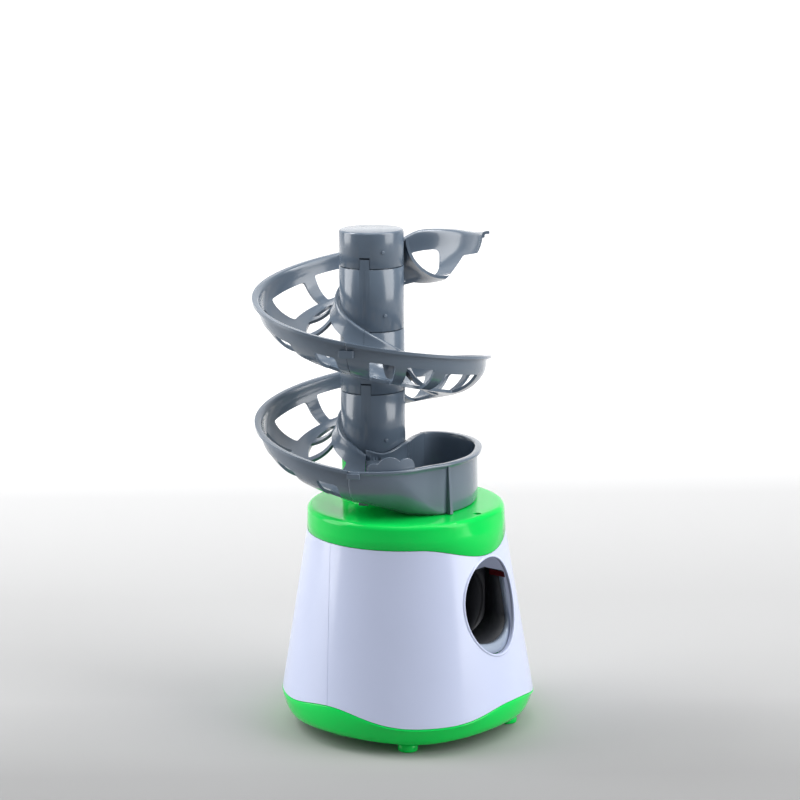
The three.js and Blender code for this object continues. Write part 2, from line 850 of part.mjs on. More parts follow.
// Clip under the lip that laps over the end of the piece above
function clip(lip) {
  const wall = troughCentre + troughOuter;
  const level = lip - clipDrop;
  const span = halfOf(clipWidth) / wall / degree;
  const lap = sweep(
    () => [
      [wall + pieceGap * 2, level],
      [wall + pieceGap * 2 + clipThickness, level],
      [wall + pieceGap * 2 + clipThickness, level - clipHeight],
      [wall + pieceGap * 2, level - clipHeight],
    ],
    -span,
    span,
    4,
  );
  const root = sweep(
    () => [
      [wall - troughWall, level],
      [wall + clipThickness, level],
      [wall + clipThickness, level - clipHeight],
      [wall - troughWall, level - clipHeight],
    ],
    span * clipRootShare,
    span,
    2,
  );
  return lap.add(root);
}

// Snap nub on the column
function nub(azimuth) {
  const knob = new THREE.CylinderGeometry(nubRadius, nubRadius, nubProud * 2, 8);
  knob.rotateZ(Math.PI / 2);
  knob.translate(columnRadius, 0, nubRise);
  knob.rotateZ(azimuth * degree);
  return solidOf(knob);
}

function trackModule() {
  const shape = {
    from: 0,
    to: halfTurnAngle,
    outerWindows: outerWindowAngles,
    innerWindows: innerWindowAngles,
    bends: bendAngles,
    topAt: lipLevel,
  };
  return trough(shape)
    .add(ledge(0, halfTurnAngle, ledgeInsetAngle))
    .add(column(0, halfPitch - pieceGap))
    .add(clip(lipLevel(0)))
    .add(nub(nubAzimuth))
    .add(nub(nubAzimuth + halfTurnAngle));
}

// Top chute: the last part of a turn of trough, cut back under its open end, on a closed cap
function topChute() {
  const from = halfTurnAngle - chuteAngle;
  const ramp = (angle) => Math.min(1, (halfTurnAngle - angle) / chuteRampAngle);
  const rimLevel = (angle) => {
    const short = Math.max(0, chuteRimLevel - lipLevel(angle));
    return lipLevel(angle) + short * Math.sin(quarterTurnAngle * ramp(angle) * degree);
  };
  let piece = trough({
    from,
    to: halfTurnAngle,
    outerWindows: chuteOuterWindowAngles,
    innerWindows: chuteInnerWindowAngles,
    bends: chuteBendAngles,
    topAt: rimLevel,
  });
  const undercut = skin(
    chuteCutAngles.map((turn, i) =>
      [
        [troughCentre + troughOuter + lipReach, chuteCutLevels[i]],
        [columnRadius + overshoot, chuteCutLevels[i]],
        [columnRadius + overshoot, -troughDepth * 2],
        [troughCentre + troughOuter + lipReach, -troughDepth * 2],
      ].map(([r, z]) => polar(r, from + turn, z)),
    ),
  );
  piece = piece.subtract(undercut).add(ledge(halfTurnAngle - chuteLedgeAngle, halfTurnAngle, chuteInsetAngle));
  const inner = columnRadius - columnWall;
  const cap = skin(
    [
      [columnRadius, 0],
      [columnRadius, capHeight - pieceGap],
      [columnRadius - pieceGap, capHeight],
    ].map(([r, z]) => roundSteps(columnSteps).map((a) => polar(r, a, z))),
  ).subtract(cylinder(inner, -overshoot, capHeight - capTopWall, columnSteps));
  const wide = (halfOf(keyWidth) + pieceGap) / columnRadius / degree;
  const notch = sweep(
    () => [
      [columnRadius + overshoot, -overshoot],
      [columnRadius + overshoot, keyHeight],
      [inner - overshoot, keyHeight],
      [inner - overshoot, -overshoot],
    ],
    -wide,
    wide,
    4,
  );
  return piece.add(cap).subtract(notch).add(nub(nubAzimuth));
}

// Hopper: the trough widens into a standing bin with a level rim; sections are rounded Us
function roundedU(inside, outside, top, bottom, corner) {
  const bend = steps(0, quarterTurnAngle, cornerSteps);
  const far = bend.map((a) => [
    outside - corner + corner * Math.cos(a * degree),
    bottom + corner - corner * Math.sin(a * degree),
  ]);
  const near = bend.map((a) => [
    inside + corner - corner * Math.sin(a * degree),
    bottom + corner - corner * Math.cos(a * degree),
  ]);
  return [[outside, top], ...far, ...near, [inside, top]];
}

const easing = (share) => {
  const held = Math.min(1, Math.max(0, share));
  return held * held * (3 - 2 * held);
};

function hopperSizes(angle) {
  const ease = easing(angle / hopperDropAngle);
  const start = hopperRim - troughDepth - seamRise * 2;
  const bottom = start + (lidTop + pieceGap - start) * ease;
  const narrow = easing((angle - hopperTaperFromAngle) / hopperTaperAngle);
  const trough = troughCentre + troughOuter;
  const widest = trough + (hopperOuter - trough) * narrow;
  const corner = halfOf(widest - hopperInner) * (1 - ease) + hopperCorner * ease;
  const round = Math.max(0, (angle - hopperAngle + hopperRoundAngle) / hopperRoundAngle);
  const inset = 1 - Math.sqrt(Math.max(0, 1 - round * round));
  const outside = widest - (hopperOuter - hopperBackRadius) * inset;
  const [wide, tall] = [halfOf(outside - hopperInner) - pieceGap, hopperRim - bottom - hopperLipThickness];
  const roundest = Math.min(wide, tall);
  return { outside, bottom, corner: Math.min(corner, roundest) };
}

function hopperShape(angle, thick, top) {
  const { outside, bottom, corner } = hopperSizes(angle);
  return roundedU(hopperInner + thick, outside - thick, top, bottom + thick, corner - thick);
}

// Radius of the bin's inner face at a level
function hopperFace(angle, level) {
  const { outside, bottom, corner } = hopperSizes(angle);
  const bend = corner - hopperWall;
  const below = Math.max(0, bottom + corner - level);
  return outside - corner + Math.sqrt(Math.max(0, bend * bend - below * below));
}

function hopper() {
  const top = hopperRim;
  const outerSkin = sweep((a) => hopperShape(a, 0, top), 0, hopperAngle, hopperSteps, halfOf(pieceGap));
  const angles = steps(0, hopperAngle, hopperSteps);
  const cavity = skin(
    [0, ...angles].map((angle, i) =>
      hopperShape(angle, hopperWall, top + overshoot).map(([r, z]) => {
        const wall = i === 0 ? overshoot : (hopperWall * angle) / hopperAngle;
        return polar(r, angle - wall / r / degree, z);
      }),
    ),
  );
  const lipOut = sweep(
    (a) => {
      const outside = hopperShape(a, 0, top)[0][0];
      return [
        [outside - hopperWall, top - hopperLipThickness],
        [outside + hopperLip, top - hopperLipThickness],
        [outside + hopperLip, top],
        [outside - hopperWall, top],
      ];
    },
    0,
    hopperAngle,
    hopperSteps,
    halfOf(pieceGap),
  );
  const ridge = ribAzimuth;
  const half = halfOf(ribWidth) / hopperOuter / degree;
  const rib = sweep(
    () => [
      [hopperOuter - halfOf(hopperWall), lidTop + pieceGap],
      [hopperOuter + ribDepth, lidTop + pieceGap],
      [hopperOuter + ribTaper, top - hopperLipThickness],
      [hopperOuter - halfOf(hopperWall), top - hopperLipThickness],
    ],
    ridge - half,
    ridge + half,
    2,
  );
  const shelf = sweep(
    () => [
      [hopperInner + halfOf(hopperWall), hopperSeam],
      [columnRadius - halfOf(columnWall), hopperSeam],
      [columnRadius - halfOf(columnWall), hopperSeam - collarHeight],
      [hopperInner + halfOf(hopperWall), hopperSeam - collarHeight],
    ],
    shelfInsetAngle,
    hopperAngle - shelfShortAngle,
    shelfSteps,
  );
  const inner = columnRadius - columnWall - pieceGap;
  const collar = ring(
    [
      [columnRadius, hopperSeam - collarHeight],
      [columnRadius, hopperSeam - pieceGap],
      [inner, hopperSeam - pieceGap],
      [inner, hopperSeam + spigotHeight],
      [inner - spigotWall, hopperSeam + spigotHeight],
      [inner - spigotWall, hopperSeam - collarHeight - collarSkirt],
      [inner, hopperSeam - collarHeight - collarSkirt],
      [inner, hopperSeam - collarHeight],
    ],
    columnSteps,
  );
  const [x, y] = polar(inletCircle(), -quarterTurnAngle - seamAzimuth, 0);
  const mouth = cylinder(inletRadius, lidTop - overshoot, lidTop + hopperWall + overshoot, boreSteps, x, y);
  const seat = cylinder(columnRadius + pieceGap, hopperSeam - pieceGap, hopperSeam + overshoot, columnSteps);
  const bin = outerSkin.subtract(cavity).add(lipOut).add(rib).subtract(mouth);
  return bin.add(collar).add(shelf.subtract(seat)).add(clip(hopperRim - seamRise * 2));
}

// Guard plate with a scalloped top, just inside the front wall of the hopper
function hopperGuard() {
  const outside = (angle) => hopperFace(angle, guardFoot) - guardGap;
  const top = (angle) => {
    const share = (angle - guardFromAngle) / (guardToAngle - guardFromAngle);
    const heights = guardLobeShares.map(([centre, width, height]) => {
      const off = (share - centre) / width;
      return height * Math.sqrt(Math.max(0, 1 - off * off));
    });
    return guardShoulder + (guardCrest - guardShoulder) * Math.max(...heights);
  };
  return sweep(
    (a) => [
      [outside(a), guardFoot],
      [outside(a), top(a)],
      [outside(a) - guardThickness, top(a)],
      [outside(a) - guardThickness, guardFoot],
    ],
    guardFromAngle,
    guardToAngle,
    guardSteps,
  );
}

// Launch chamber: a well under the inlet, a snout towards the window and the deck it stands on
function launchChamber() {
  const y = towerBack - inletCircle();
  const top = lidTop - lidWall - pieceGap;
  let piece = cylinder(chamberBore + chamberWall, deckTop - halfOf(deckThickness), top, boreSteps, 0, y);
  const snoutLevel = chamberFloor + ballRadius + stopRidge;
  piece = piece.add(alongY(chamberBore + chamberWall, y - snoutReach, y, 0, snoutLevel, boreSteps));
  piece = piece.subtract(cylinder(chamberBore, chamberFloor, top + overshoot, boreSteps, 0, y));
  piece = piece.subtract(cylinder(chamberBore, 0, chamberFloor - chamberFloorWall, boreSteps, 0, y));
  piece = piece.subtract(alongY(chamberBore, y - snoutReach - overshoot, y, 0, snoutLevel, boreSteps));
  const kickerSlot = box(
    -kickerSlotHalf,
    kickerSlotHalf,
    y,
    y + chamberBore * 2,
    kickerSlotBottom,
    kickerSlotTop,
  );
  piece = piece.subtract(kickerSlot);
  const ridgeY = y - ballRadius * ridgePlaceShare;
  const ridge = box(
    -halfOf(chamberBore),
    halfOf(chamberBore),
    ridgeY - stopRidge,
    ridgeY,
    chamberFloor - stopRidge,
    chamberFloor + stopRidge,
  );
  piece = piece.add(ridge);
  const deck = box(-deckHalfWidth, deckHalfWidth, -deckFront, deckBack, deckTop - deckThickness, deckTop);
  piece = piece.add(deck.subtract(cylinder(chamberBore, 0, chamberFloor - overshoot, boreSteps, 0, y)));
  for (const x of [-deckLegX, deckLegX]) {
    for (const legY of [-deckLegY, deckLegY]) {
      const [low, high] = [boxRoof + boxWall + pieceGap, deckTop - halfOf(deckThickness)];
      piece = piece.add(cylinder(deckLegRadius, low, high, pinSteps, x, legY));
    }
  }
  const m = motorAxle();
  const cradle = box(
    cradleNear,
    cradleFar,
    m[0] - cradleHalf,
    Math.min(m[0] + cradleHalf, deckBack),
    deckTop - halfOf(deckThickness),
    deckTop + cradleHeight,
  );
  piece = piece.add(cradle);
  const [near, far] = [cradleNear - overshoot, cradleFar + overshoot];
  return piece.subtract(alongX(motorRadius + pieceGap, near, far, m[0], m[1], motorSteps));
}

function barrelRim() {
  const y = towerBack - inletCircle() - snoutReach - pieceGap;
  const level = chamberFloor + ballRadius + stopRidge;
  const outside = alongY(chamberBore + barrelWall, y - barrelLength, y, 0, level, boreSteps);
  const front = y - barrelLength - overshoot;
  return outside.subtract(alongY(chamberBore, front, y + overshoot, 0, level, boreSteps));
}

// Axle places [y, z], each at its meshing distance from the one before
const reach = (z0, z1, distance) => Math.sqrt(distance * distance - (z0 - z1) ** 2);
const kickerAxle = () => [kickerAxleY, kickerAxleZ];
const driveAxle = () => {
  const distance = (coarseModule * (kickerTeeth + sectorTeeth)) / 2;
  return [kickerAxleY + reach(kickerAxleZ, driveAxleZ, distance), driveAxleZ];
};
const idlerAxle = () => {
  const distance = (fineModule * (ringTeeth + idlerPinionTeeth)) / 2;
  return [driveAxle()[0] + reach(driveAxleZ, idlerAxleZ, distance), idlerAxleZ];
};
const motorAxle = () => {
  const distance = (fineModule * (idlerTeeth + motorTeeth)) / 2;
  return [idlerAxle()[0] + reach(idlerAxleZ, motorAxleZ, distance), motorAxleZ];
};
const bearing = (from, to) => Math.atan2(to[1] - from[1], to[0] - from[0]) / degree;

// Kicker: toothed quadrant, hub, arm and paddle in one dark red moulding
function kicker() {
  const [y, z] = kickerAxle();
  const toDrive = bearing(kickerAxle(), driveAxle());
  const thick = sectorHalfThickness;
  const quadrant = gear(coarseModule, kickerTeeth, toDrive, -thick, thick, y, z, sectorKept);
  const arm = box(-thick, thick, y - halfOf(armWidth), y + halfOf(armWidth), paddleFoot + halfOf(paddleHeight), z);
  const paddleFront = y - gearHubRadius - halfOf(paddleThickness);
  const paddleTop = paddleFoot + paddleHeight;
  const paddle = box(
    -paddleHalfWidth,
    paddleHalfWidth,
    paddleFront,
    paddleFront + paddleThickness,
    paddleFoot,
    paddleTop,
  );
  const web = box(
    -thick,
    thick,
    paddleFront + halfOf(paddleThickness),
    y + halfOf(armWidth),
    paddleFoot + paddleThickness,
    paddleTop,
  );
  const reach = paddleHalfWidth + overshoot;
  const bore = alongX(axleRadius + axleClearance, -reach, reach, y, z, pinSteps);
  return quadrant.add(arm).add(web).add(paddle).subtract(bore);
}

// Drive wheel: toothed sector for the kicker beside a full ring gear
function driveWheel() {
  const [y, z] = driveAxle();
  const toKicker = bearing(driveAxle(), kickerAxle());
  const toIdler = bearing(driveAxle(), idlerAxle());
  const gapTurn = halfTurnAngle / sectorTeeth;
  const thick = sectorHalfThickness;
  const sector = gear(coarseModule, sectorTeeth, toKicker + gapTurn, -thick, thick, y, z, sectorKept + 1);
  const full = gear(fineModule, ringTeeth, toIdler, ringGearNear, ringGearFar, y, z);
  const hub = alongX(gearHubRadius * 2, -thick * hubReachShare, ringGearFar, y, z, buttonSteps);
  const bore = alongX(axleRadius + axleClearance, leftPlateOuter, rightPlateInner, y, z, 16);
  return sector.add(full).add(hub).subtract(bore);
}

function idlerGear() {
  const [y, z] = idlerAxle();
  const toDrive = bearing(idlerAxle(), driveAxle());
  const toMotor = bearing(idlerAxle(), motorAxle());
  const phase = toDrive + halfTurnAngle / idlerPinionTeeth;
  const [near, far] = [ringGearNear - halfOf(pieceGap), idlerGearNear + pieceGap];
  const pinion = gear(fineModule, idlerPinionTeeth, phase, near, far, y, z);
  const large = gear(fineModule, idlerTeeth, toMotor, idlerGearNear, idlerGearFar, y, z);
  const bore = alongX(axleRadius + axleClearance, leftPlateOuter, rightPlateInner, y, z, 16);
  return pinion.add(large).subtract(bore);
}

function motorPinion() {
  const [y, z] = motorAxle();
  const toIdler = bearing(motorAxle(), idlerAxle());
  const phase = toIdler + halfTurnAngle / motorTeeth;
  const pinion = gear(fineModule, motorTeeth, phase, idlerGearNear, idlerGearFar, y, z);
  const [near, far] = [motorFront + motorBossLength + pieceGap, idlerGearFar + halfOf(axleRadius)];
  return pinion.add(alongX(motorShaftRadius, near, far, y, z, pinSteps));
}

function motorCan() {
  const [y, z] = motorAxle();
  const back = motorFront - motorLength;
  const can = alongX(motorRadius, back, motorFront, y, z, motorSteps);
  const across = (halfY, halfZ) => box(back, motorFront, y - halfY, y + halfY, z - halfZ, z + halfZ);
  const flats = across(motorFlatHalf, motorRadius).add(across(motorRadius, motorFlatHalf));
  const [near, far] = [motorFront - halfOf(motorBossLength), motorFront + motorBossLength];
  return can.intersect(flats).add(alongX(motorBossRadius, near, far, y, z, bossSteps));
}

// Side plates of the gear box
function plateOutline() {
  const k = kickerAxle();
  const d = driveAxle();
  const i = idlerAxle();
  const low = deckTop + pieceGap;
  const edge = gearHubRadius;
  return [
    [i[0] - edge * plateBackShare, low],
    [i[0] + edge * plateFootShare, low],
    [i[0] + edge * plateFootShare, i[1] - edge * 2],
    [i[0] + edge * 2, i[1]],
    [d[0] + edge * 3, d[1]],
    [d[0] + edge, d[1] + edge * 3],
    [k[0], k[1] + edge * 2],
    [k[0] - edge, k[1] + edge],
    [k[0] - edge, k[1] - edge],
    [i[0] - edge * plateBackShare, i[1] + edge * 2],
  ];
}

function gearPlate(from) {
  let plate = slab(plateOutline(), from, from + plateThickness);
  for (const [y, z] of [kickerAxle(), driveAxle(), idlerAxle()]) {
    const [near, far] = [from - overshoot, from + plateThickness + overshoot];
    plate = plate.subtract(alongX(axleRadius + axleClearance, near, far, y, z, pinSteps));
  }
  return plate;
}

function axle([y, z]) {
  const [near, far] = [leftPlateOuter - halfOf(plateThickness), rightPlateInner + plateThickness];
  return alongX(axleRadius, near, far + halfOf(plateThickness), y, z, pinSteps);
}

// Torsion spring round the kicker axle
function kickerSpring() {
  const [y, z] = kickerAxle();
  const turns = 4;
  const perTurn = 12;
  const whole = turns * fullTurnAngle;
  const points = steps(0, whole, turns * perTurn).map(
    (a) =>
      new THREE.Vector3(
        springNear + ((springFar - springNear) * a) / whole,
        y + springRadius * Math.cos(a * degree),
        z + springRadius * Math.sin(a * degree),
      ),
  );
  return skin(
    points.map((p, i) => {
      const a = (i / perTurn) * fullTurnAngle;
      const out = [Math.cos(a * degree), Math.sin(a * degree)];
      return steps(0, fullTurnAngle, wireSteps)
        .slice(0, -1)
        .map((t) => {
          const radial = halfOf(springWire) * Math.cos(t * degree);
          const axial = halfOf(springWire) * Math.sin(t * degree);
          return [p.x + axial, p.y + radial * out[0], p.z + radial * out[1]];
        });
    }),
  );
}

// Cells lie along X, alternate ways round
function cell(index) {
  const y = (index - 1.5) * cellPitch;
  const z = trayFloorLevel + doorThickness + pieceGap * 2 + cellRadius;
  const way = index % 2 === 0 ? 1 : -1;
  const can = alongX(cellRadius, -halfOf(cellLength), halfOf(cellLength), y, z, 20);
  const end = halfOf(cellLength) * way;
  const ends = [end - way * cellTipRoot, end + way * cellTipLength];
  const tip = alongX(cellTipRadius, Math.min(...ends), Math.max(...ends), y, z, tipSteps);
  return can.add(tip);
}

function contact(side, row) {
  const x = side * (boxHalfX - pieceGap);
  const y = row * cellPitch;
  const z = trayFloorLevel + doorThickness + pieceGap * 2 + cellRadius;
  const near = x - side * contactThickness;
  const reach = cellPitch * contactReachShare;
  const [inside, outside] = [Math.min(x, near), Math.max(x, near)];
  let strip = box(inside, outside, y - reach, y + reach, z - halfOf(contactWidth), z + halfOf(contactWidth));
  for (const way of [-1, 1]) {
    const bumpY = y + halfOf(cellPitch) * way;
    const from = near - side * contactBumpHeight;
    strip = strip.add(alongX(contactBumpRadius, Math.min(from, x), Math.max(from, x), bumpY, z, 10));
  }
  return strip;
}

function batteryDoor() {
  const door = boxAt(doorHalfX, doorHalfY, trayFloorLevel, trayFloorLevel + doorThickness);
  const groove = box(
    -halfOf(doorGripLength),
    halfOf(doorGripLength),
    -doorHalfY + doorGripWidth,
    -doorHalfY + doorGripWidth * 2,
    0,
    trayFloorLevel + halfOf(doorThickness),
  );
  return door.subtract(groove);
}

function powerButton() {
  const face = bodyRadius(buttonLevel) + buttonProud;
  const stem = bodyRadius(buttonLevel) - shellWall - buttonFlangeThickness - pieceGap;
  const back = stem - buttonTravel;
  const cap = alongY(buttonRadius, back, face, 0, buttonLevel, 28);
  return cap.add(alongY(buttonFlange, stem, stem + buttonFlangeThickness, 0, buttonLevel, 28));
}

function switchBody() {
  const front = bodyRadius(buttonLevel) - sleeveLength - pieceGap;
  const [low, high] = [buttonLevel - switchHalf, buttonLevel + switchHalf];
  const housing = box(-switchHalf, switchHalf, front - switchLength, front, low, high);
  const [near, far] = [front - switchPlungerLength, front + switchPlungerLength];
  return housing.add(alongY(switchPlungerRadius, near, far, 0, buttonLevel, pinSteps));
}

// Screws up through the tray into the shells
function screw(x, y) {
  const seat = screwSeat() - pieceGap;
  const head = cylinder(screwHeadRadius, seat - screwHeadHeight, seat, 16, x, y);
  return head.add(cylinder(screwShankRadius, seat - halfOf(screwHeadHeight), seat + screwLength, 10, x, y));
}

node("base_tray", baseTray(), green);
footAzimuths.forEach((azimuth, i) => {
  const [x, y] = polar(footCircleRadius, azimuth, 0);
  node("foot_" + (i + 1), foot(x, y), green);
});
node("front_shell", frontShell(), white);
node("rear_shell", rearShell(), white);
node("top_lid", topLid(), green);
node("hopper", hopper(), grey, { back: towerBack, z: 0, azimuth: seamAzimuth });
node("hopper_guard", hopperGuard(), grey, { back: towerBack, z: 0, azimuth: seamAzimuth });
const moduleSolid = trackModule();
for (const i of [0, 1, 2]) {
  const azimuth = seamAzimuth + halfTurnAngle * (i + 1);
  const place = { back: towerBack, z: hopperSeam + halfPitch * i, azimuth };
  node("track_module_" + (i + 1), moduleSolid, grey, place);
}
const chutePlace = { back: towerBack, z: hopperSeam + halfPitch * 3, azimuth: seamAzimuth };
node("top_chute", topChute(), grey, chutePlace);
node("launch_chamber", launchChamber(), black);
node("barrel_rim", barrelRim(), paleGrey);
node("kicker", kicker(), red);
node("drive_wheel", driveWheel(), ivory);
node("idler_gear", idlerGear(), ivory);
node("motor_pinion", motorPinion(), steel);
node("motor_can", motorCan(), steel);
node("gear_plate_left", gearPlate(leftPlateOuter), black);
node("gear_plate_right", gearPlate(rightPlateInner), black);
node("kicker_axle", axle(kickerAxle()), steel);
node("drive_axle", axle(driveAxle()), steel);
node("idler_axle", axle(idlerAxle()), steel);
node("kicker_spring", kickerSpring(), steel);
for (const i of [0, 1, 2, 3]) {
  node("cell_" + (i + 1), cell(i), cellBlue);
}
node("contact_left_1", contact(-1, -1), steel);
node("contact_left_2", contact(-1, 1), steel);
node("contact_right_1", contact(1, -1), steel);
node("contact_right_2", contact(1, 1), steel);
node("battery_door", batteryDoor(), green);
node("power_button", powerButton(), green);
node("switch_body", switchBody(), black);
screwPlaces().forEach(([x, y], i) => {
  node("screw_" + (i + 1), screw(x, y), steel);
});

// The part's own origin: the middle of its base
group.updateMatrixWorld(true);
const bounds = new THREE.Box3().setFromObject(group, true);
const middle = bounds.getCenter(new THREE.Vector3());
for (const mesh of group.children) {
  mesh.position.x -= middle.x;
  mesh.position.y -= middle.y;
  mesh.position.z -= bounds.min.z;
}

export default group;
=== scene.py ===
import math

import bmesh
import bpy
from mathutils import Matrix, Vector


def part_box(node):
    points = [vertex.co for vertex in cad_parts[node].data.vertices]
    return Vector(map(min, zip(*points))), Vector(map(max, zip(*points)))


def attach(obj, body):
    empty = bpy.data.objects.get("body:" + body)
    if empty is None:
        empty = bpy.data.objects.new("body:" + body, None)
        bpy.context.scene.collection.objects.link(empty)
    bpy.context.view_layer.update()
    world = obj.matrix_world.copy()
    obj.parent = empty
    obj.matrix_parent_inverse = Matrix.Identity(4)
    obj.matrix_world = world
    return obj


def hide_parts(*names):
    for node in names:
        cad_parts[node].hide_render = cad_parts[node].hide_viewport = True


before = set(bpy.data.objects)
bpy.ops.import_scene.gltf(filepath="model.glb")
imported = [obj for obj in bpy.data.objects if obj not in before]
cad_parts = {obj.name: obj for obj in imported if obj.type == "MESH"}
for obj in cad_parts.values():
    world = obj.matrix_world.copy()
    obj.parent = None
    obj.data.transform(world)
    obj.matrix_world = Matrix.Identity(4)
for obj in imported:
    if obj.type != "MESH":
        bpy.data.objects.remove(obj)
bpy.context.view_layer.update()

# Table tennis robot: a tapered battery body that pops out balls, fed by a bin on its lid
# and by a spiral track stacked above the bin. Lengths are written in millimetres.
mm = 0.001
tray_low, tray_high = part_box("base_tray")
body_back = (tray_low.y + tray_high.y) / 2 / mm
tower_back = body_back + 24.5
well_reach = 41.9


# Stage: a pale sheet that runs up behind the toy, soft boxes on both sides and overhead,
# and the camera of the picture, a long lens a metre and a half away.
picture_azimuth = -52
picture_turn = Matrix.Rotation(math.radians(picture_azimuth), 4, "Z")


def shade(material, kind, **values):
    node = material.node_tree.nodes.new(kind)
    for name, value in values.items():
        if name in node.inputs:
            node.inputs[name].default_value = value
        else:
            setattr(node, name, value)
    return node


def dial(node, values):
    for name, value in values.items():
        node.inputs[name].default_value = value
    return node


def spread(material, *limits):
    """A map range node with its limits: from low and high, to low and high."""
    names = ("From Min", "From Max", "To Min", "To Max")
    return dial(shade(material, "ShaderNodeMapRange"), dict(zip(names, limits)))


def wire(tree, *links):
    """Each link is a node, its output, the next node and that one's input."""
    for start, output, end, entry in links:
        tree.links.new(start.outputs[output], end.inputs[entry])


def add_object(name, data):
    made = bpy.data.objects.new(name, data)
    bpy.context.scene.collection.objects.link(made)
    return made


def add_mesh(name, points, faces, material):
    mesh = bpy.data.meshes.new(name)
    mesh.from_pydata(points, [], faces)
    mesh.materials.append(material)
    mesh.polygons.foreach_set("use_smooth", [True] * len(mesh.polygons))
    mesh.update()
    return add_object(name, mesh)


def sweep_sheet(material):
    depth, rise, bend, half, back = 2.6, 2.4, 0.7, 3.2, 1.3
    line = [(-depth, 0.0)]
    line += [
        (back + bend * math.sin(math.radians(a)), bend - bend * math.cos(math.radians(a)))
        for a in range(0, 91, 6)
    ]
    line.append((back + bend, rise))
    points = [picture_turn @ Vector((x, y, z)) for y, z in line for x in (-half, half)]
    faces = [(2 * i, 2 * i + 1, 2 * i + 3, 2 * i + 2) for i in range(len(line) - 1)]
    return add_mesh("studio_sheet", points, faces, material)


def sheet_paper():
    paper = bpy.data.materials.new("sheet_paper")
    paper.use_nodes = True
    paper.node_tree.nodes.clear()
    where = shade(paper, "ShaderNodeTexCoord")
    facing = shade(paper, "ShaderNodeMapping", vector_type="POINT")
    dial(facing, {"Rotation": (0, 0, math.radians(-picture_azimuth))})
    parts = shade(paper, "ShaderNodeSeparateXYZ")
    fade = spread(paper, -0.35, 1.15, 0.0, 1.0)
    # Painted shade: the sheet's colour darkens towards its front edge, nearest the camera.
    painted_shade_ramp = shade(paper, "ShaderNodeValToRGB")
    painted_light_ramp = shade(paper, "ShaderNodeValToRGB")
    painted_shade_steps = ((0.1, 0.28), (0.16, 0.31), (0.25, 0.46), (0.4, 0.47), (0.6, 0.58), (0.86, 0.95))
    painted_glow_steps = ((0.3, 0.0), (0.6, 0.1), (0.86, 0.4))
    for ramp, stops in ((painted_shade_ramp, painted_shade_steps), (painted_light_ramp, painted_glow_steps)):
        line = ramp.color_ramp
        while len(line.elements) < len(stops):
            line.elements.new(0.5)
        for element, (at, value) in zip(line.elements, stops):
            element.position, element.color = at, (value, value, value, 1)
    matte = shade(paper, "ShaderNodeBsdfPrincipled", Roughness=0.9)
    # Painted light: an emission makes the sheet's far part glow, though it is no lamp.
    glow = shade(paper, "ShaderNodeEmission", Strength=1.0)
    both = shade(paper, "ShaderNodeAddShader")
    out = shade(paper, "ShaderNodeOutputMaterial")
    wire(
        paper.node_tree,
        (where, "Object", facing, "Vector"), (facing, "Vector", parts, "Vector"),
        (parts, "Y", fade, "Value"), (fade, "Result", painted_shade_ramp, "Fac"),
        (fade, "Result", painted_light_ramp, "Fac"), (painted_shade_ramp, "Color", matte, "Base Color"),
        (painted_light_ramp, "Color", glow, "Color"), (matte, "BSDF", both, 0),
        (glow, "Emission", both, 1), (both, "Shader", out, "Surface"),
    )
    return paper


studio_sheet = sweep_sheet(sheet_paper())


def soft_box(name, place, size, power, aim=(0, 0, 0.14)):
    lamp = bpy.data.lights.new(name, "AREA")
    lamp.shape = "RECTANGLE"
    lamp.size, lamp.size_y = size
    lamp.energy = power
    holder = add_object(name, lamp)
    holder.location = picture_turn @ Vector(place)
    holder.rotation_euler = (Vector(aim) - holder.location).to_track_quat("-Z", "Y").to_euler()


soft_box("key_right", (1.22, -0.5, 0.8), (1.0, 2.0), 25)
soft_box("fill_left", (-1.3, 0.06, 0.8), (0.9, 2.0), 24)
soft_box("top_box", (0.1, -0.1, 1.5), (1.1, 0.9), 7)
soft_box("edge_left", (-0.78, 0.3, 1.4), (0.5, 0.22), 4)
soft_box("edge_right", (0.8, 0.2, 1.35), (0.4, 0.2), 3)

world = bpy.data.worlds.new("studio_air")
world.use_nodes = True
dial(world.node_tree.nodes["Background"], {"Color": (0.93, 0.95, 1, 1), "Strength": 0.2})
bpy.context.scene.world = world

camera = add_object("camera", bpy.data.cameras.new("camera"))
camera.data.sensor_width = 36
camera.data.lens = 112.2
camera.data.clip_end = 20
camera_place = Vector((0, -1.4657, 0.5081))
pitch, yaw, roll = (math.radians(a) for a in (11.91, -0.115, -0.54))
level_reach = math.cos(pitch)
ahead = Vector((math.sin(yaw) * level_reach, math.cos(yaw) * level_reach, -math.sin(pitch)))
flat_right = Vector((math.cos(yaw), -math.sin(yaw), 0))
flat_up = flat_right.cross(ahead)
right = flat_right * math.cos(roll) + flat_up * math.sin(roll)
up = flat_up * math.cos(roll) - flat_right * math.sin(roll)
pose = Matrix((right, up, -ahead)).transposed().to_4x4()
pose.translation = camera_place
camera.matrix_world = Matrix.Translation((0, body_back * mm, 0)) @ picture_turn @ pose
bpy.context.scene.camera = camera
bpy.context.scene.view_settings.view_transform = "Standard"


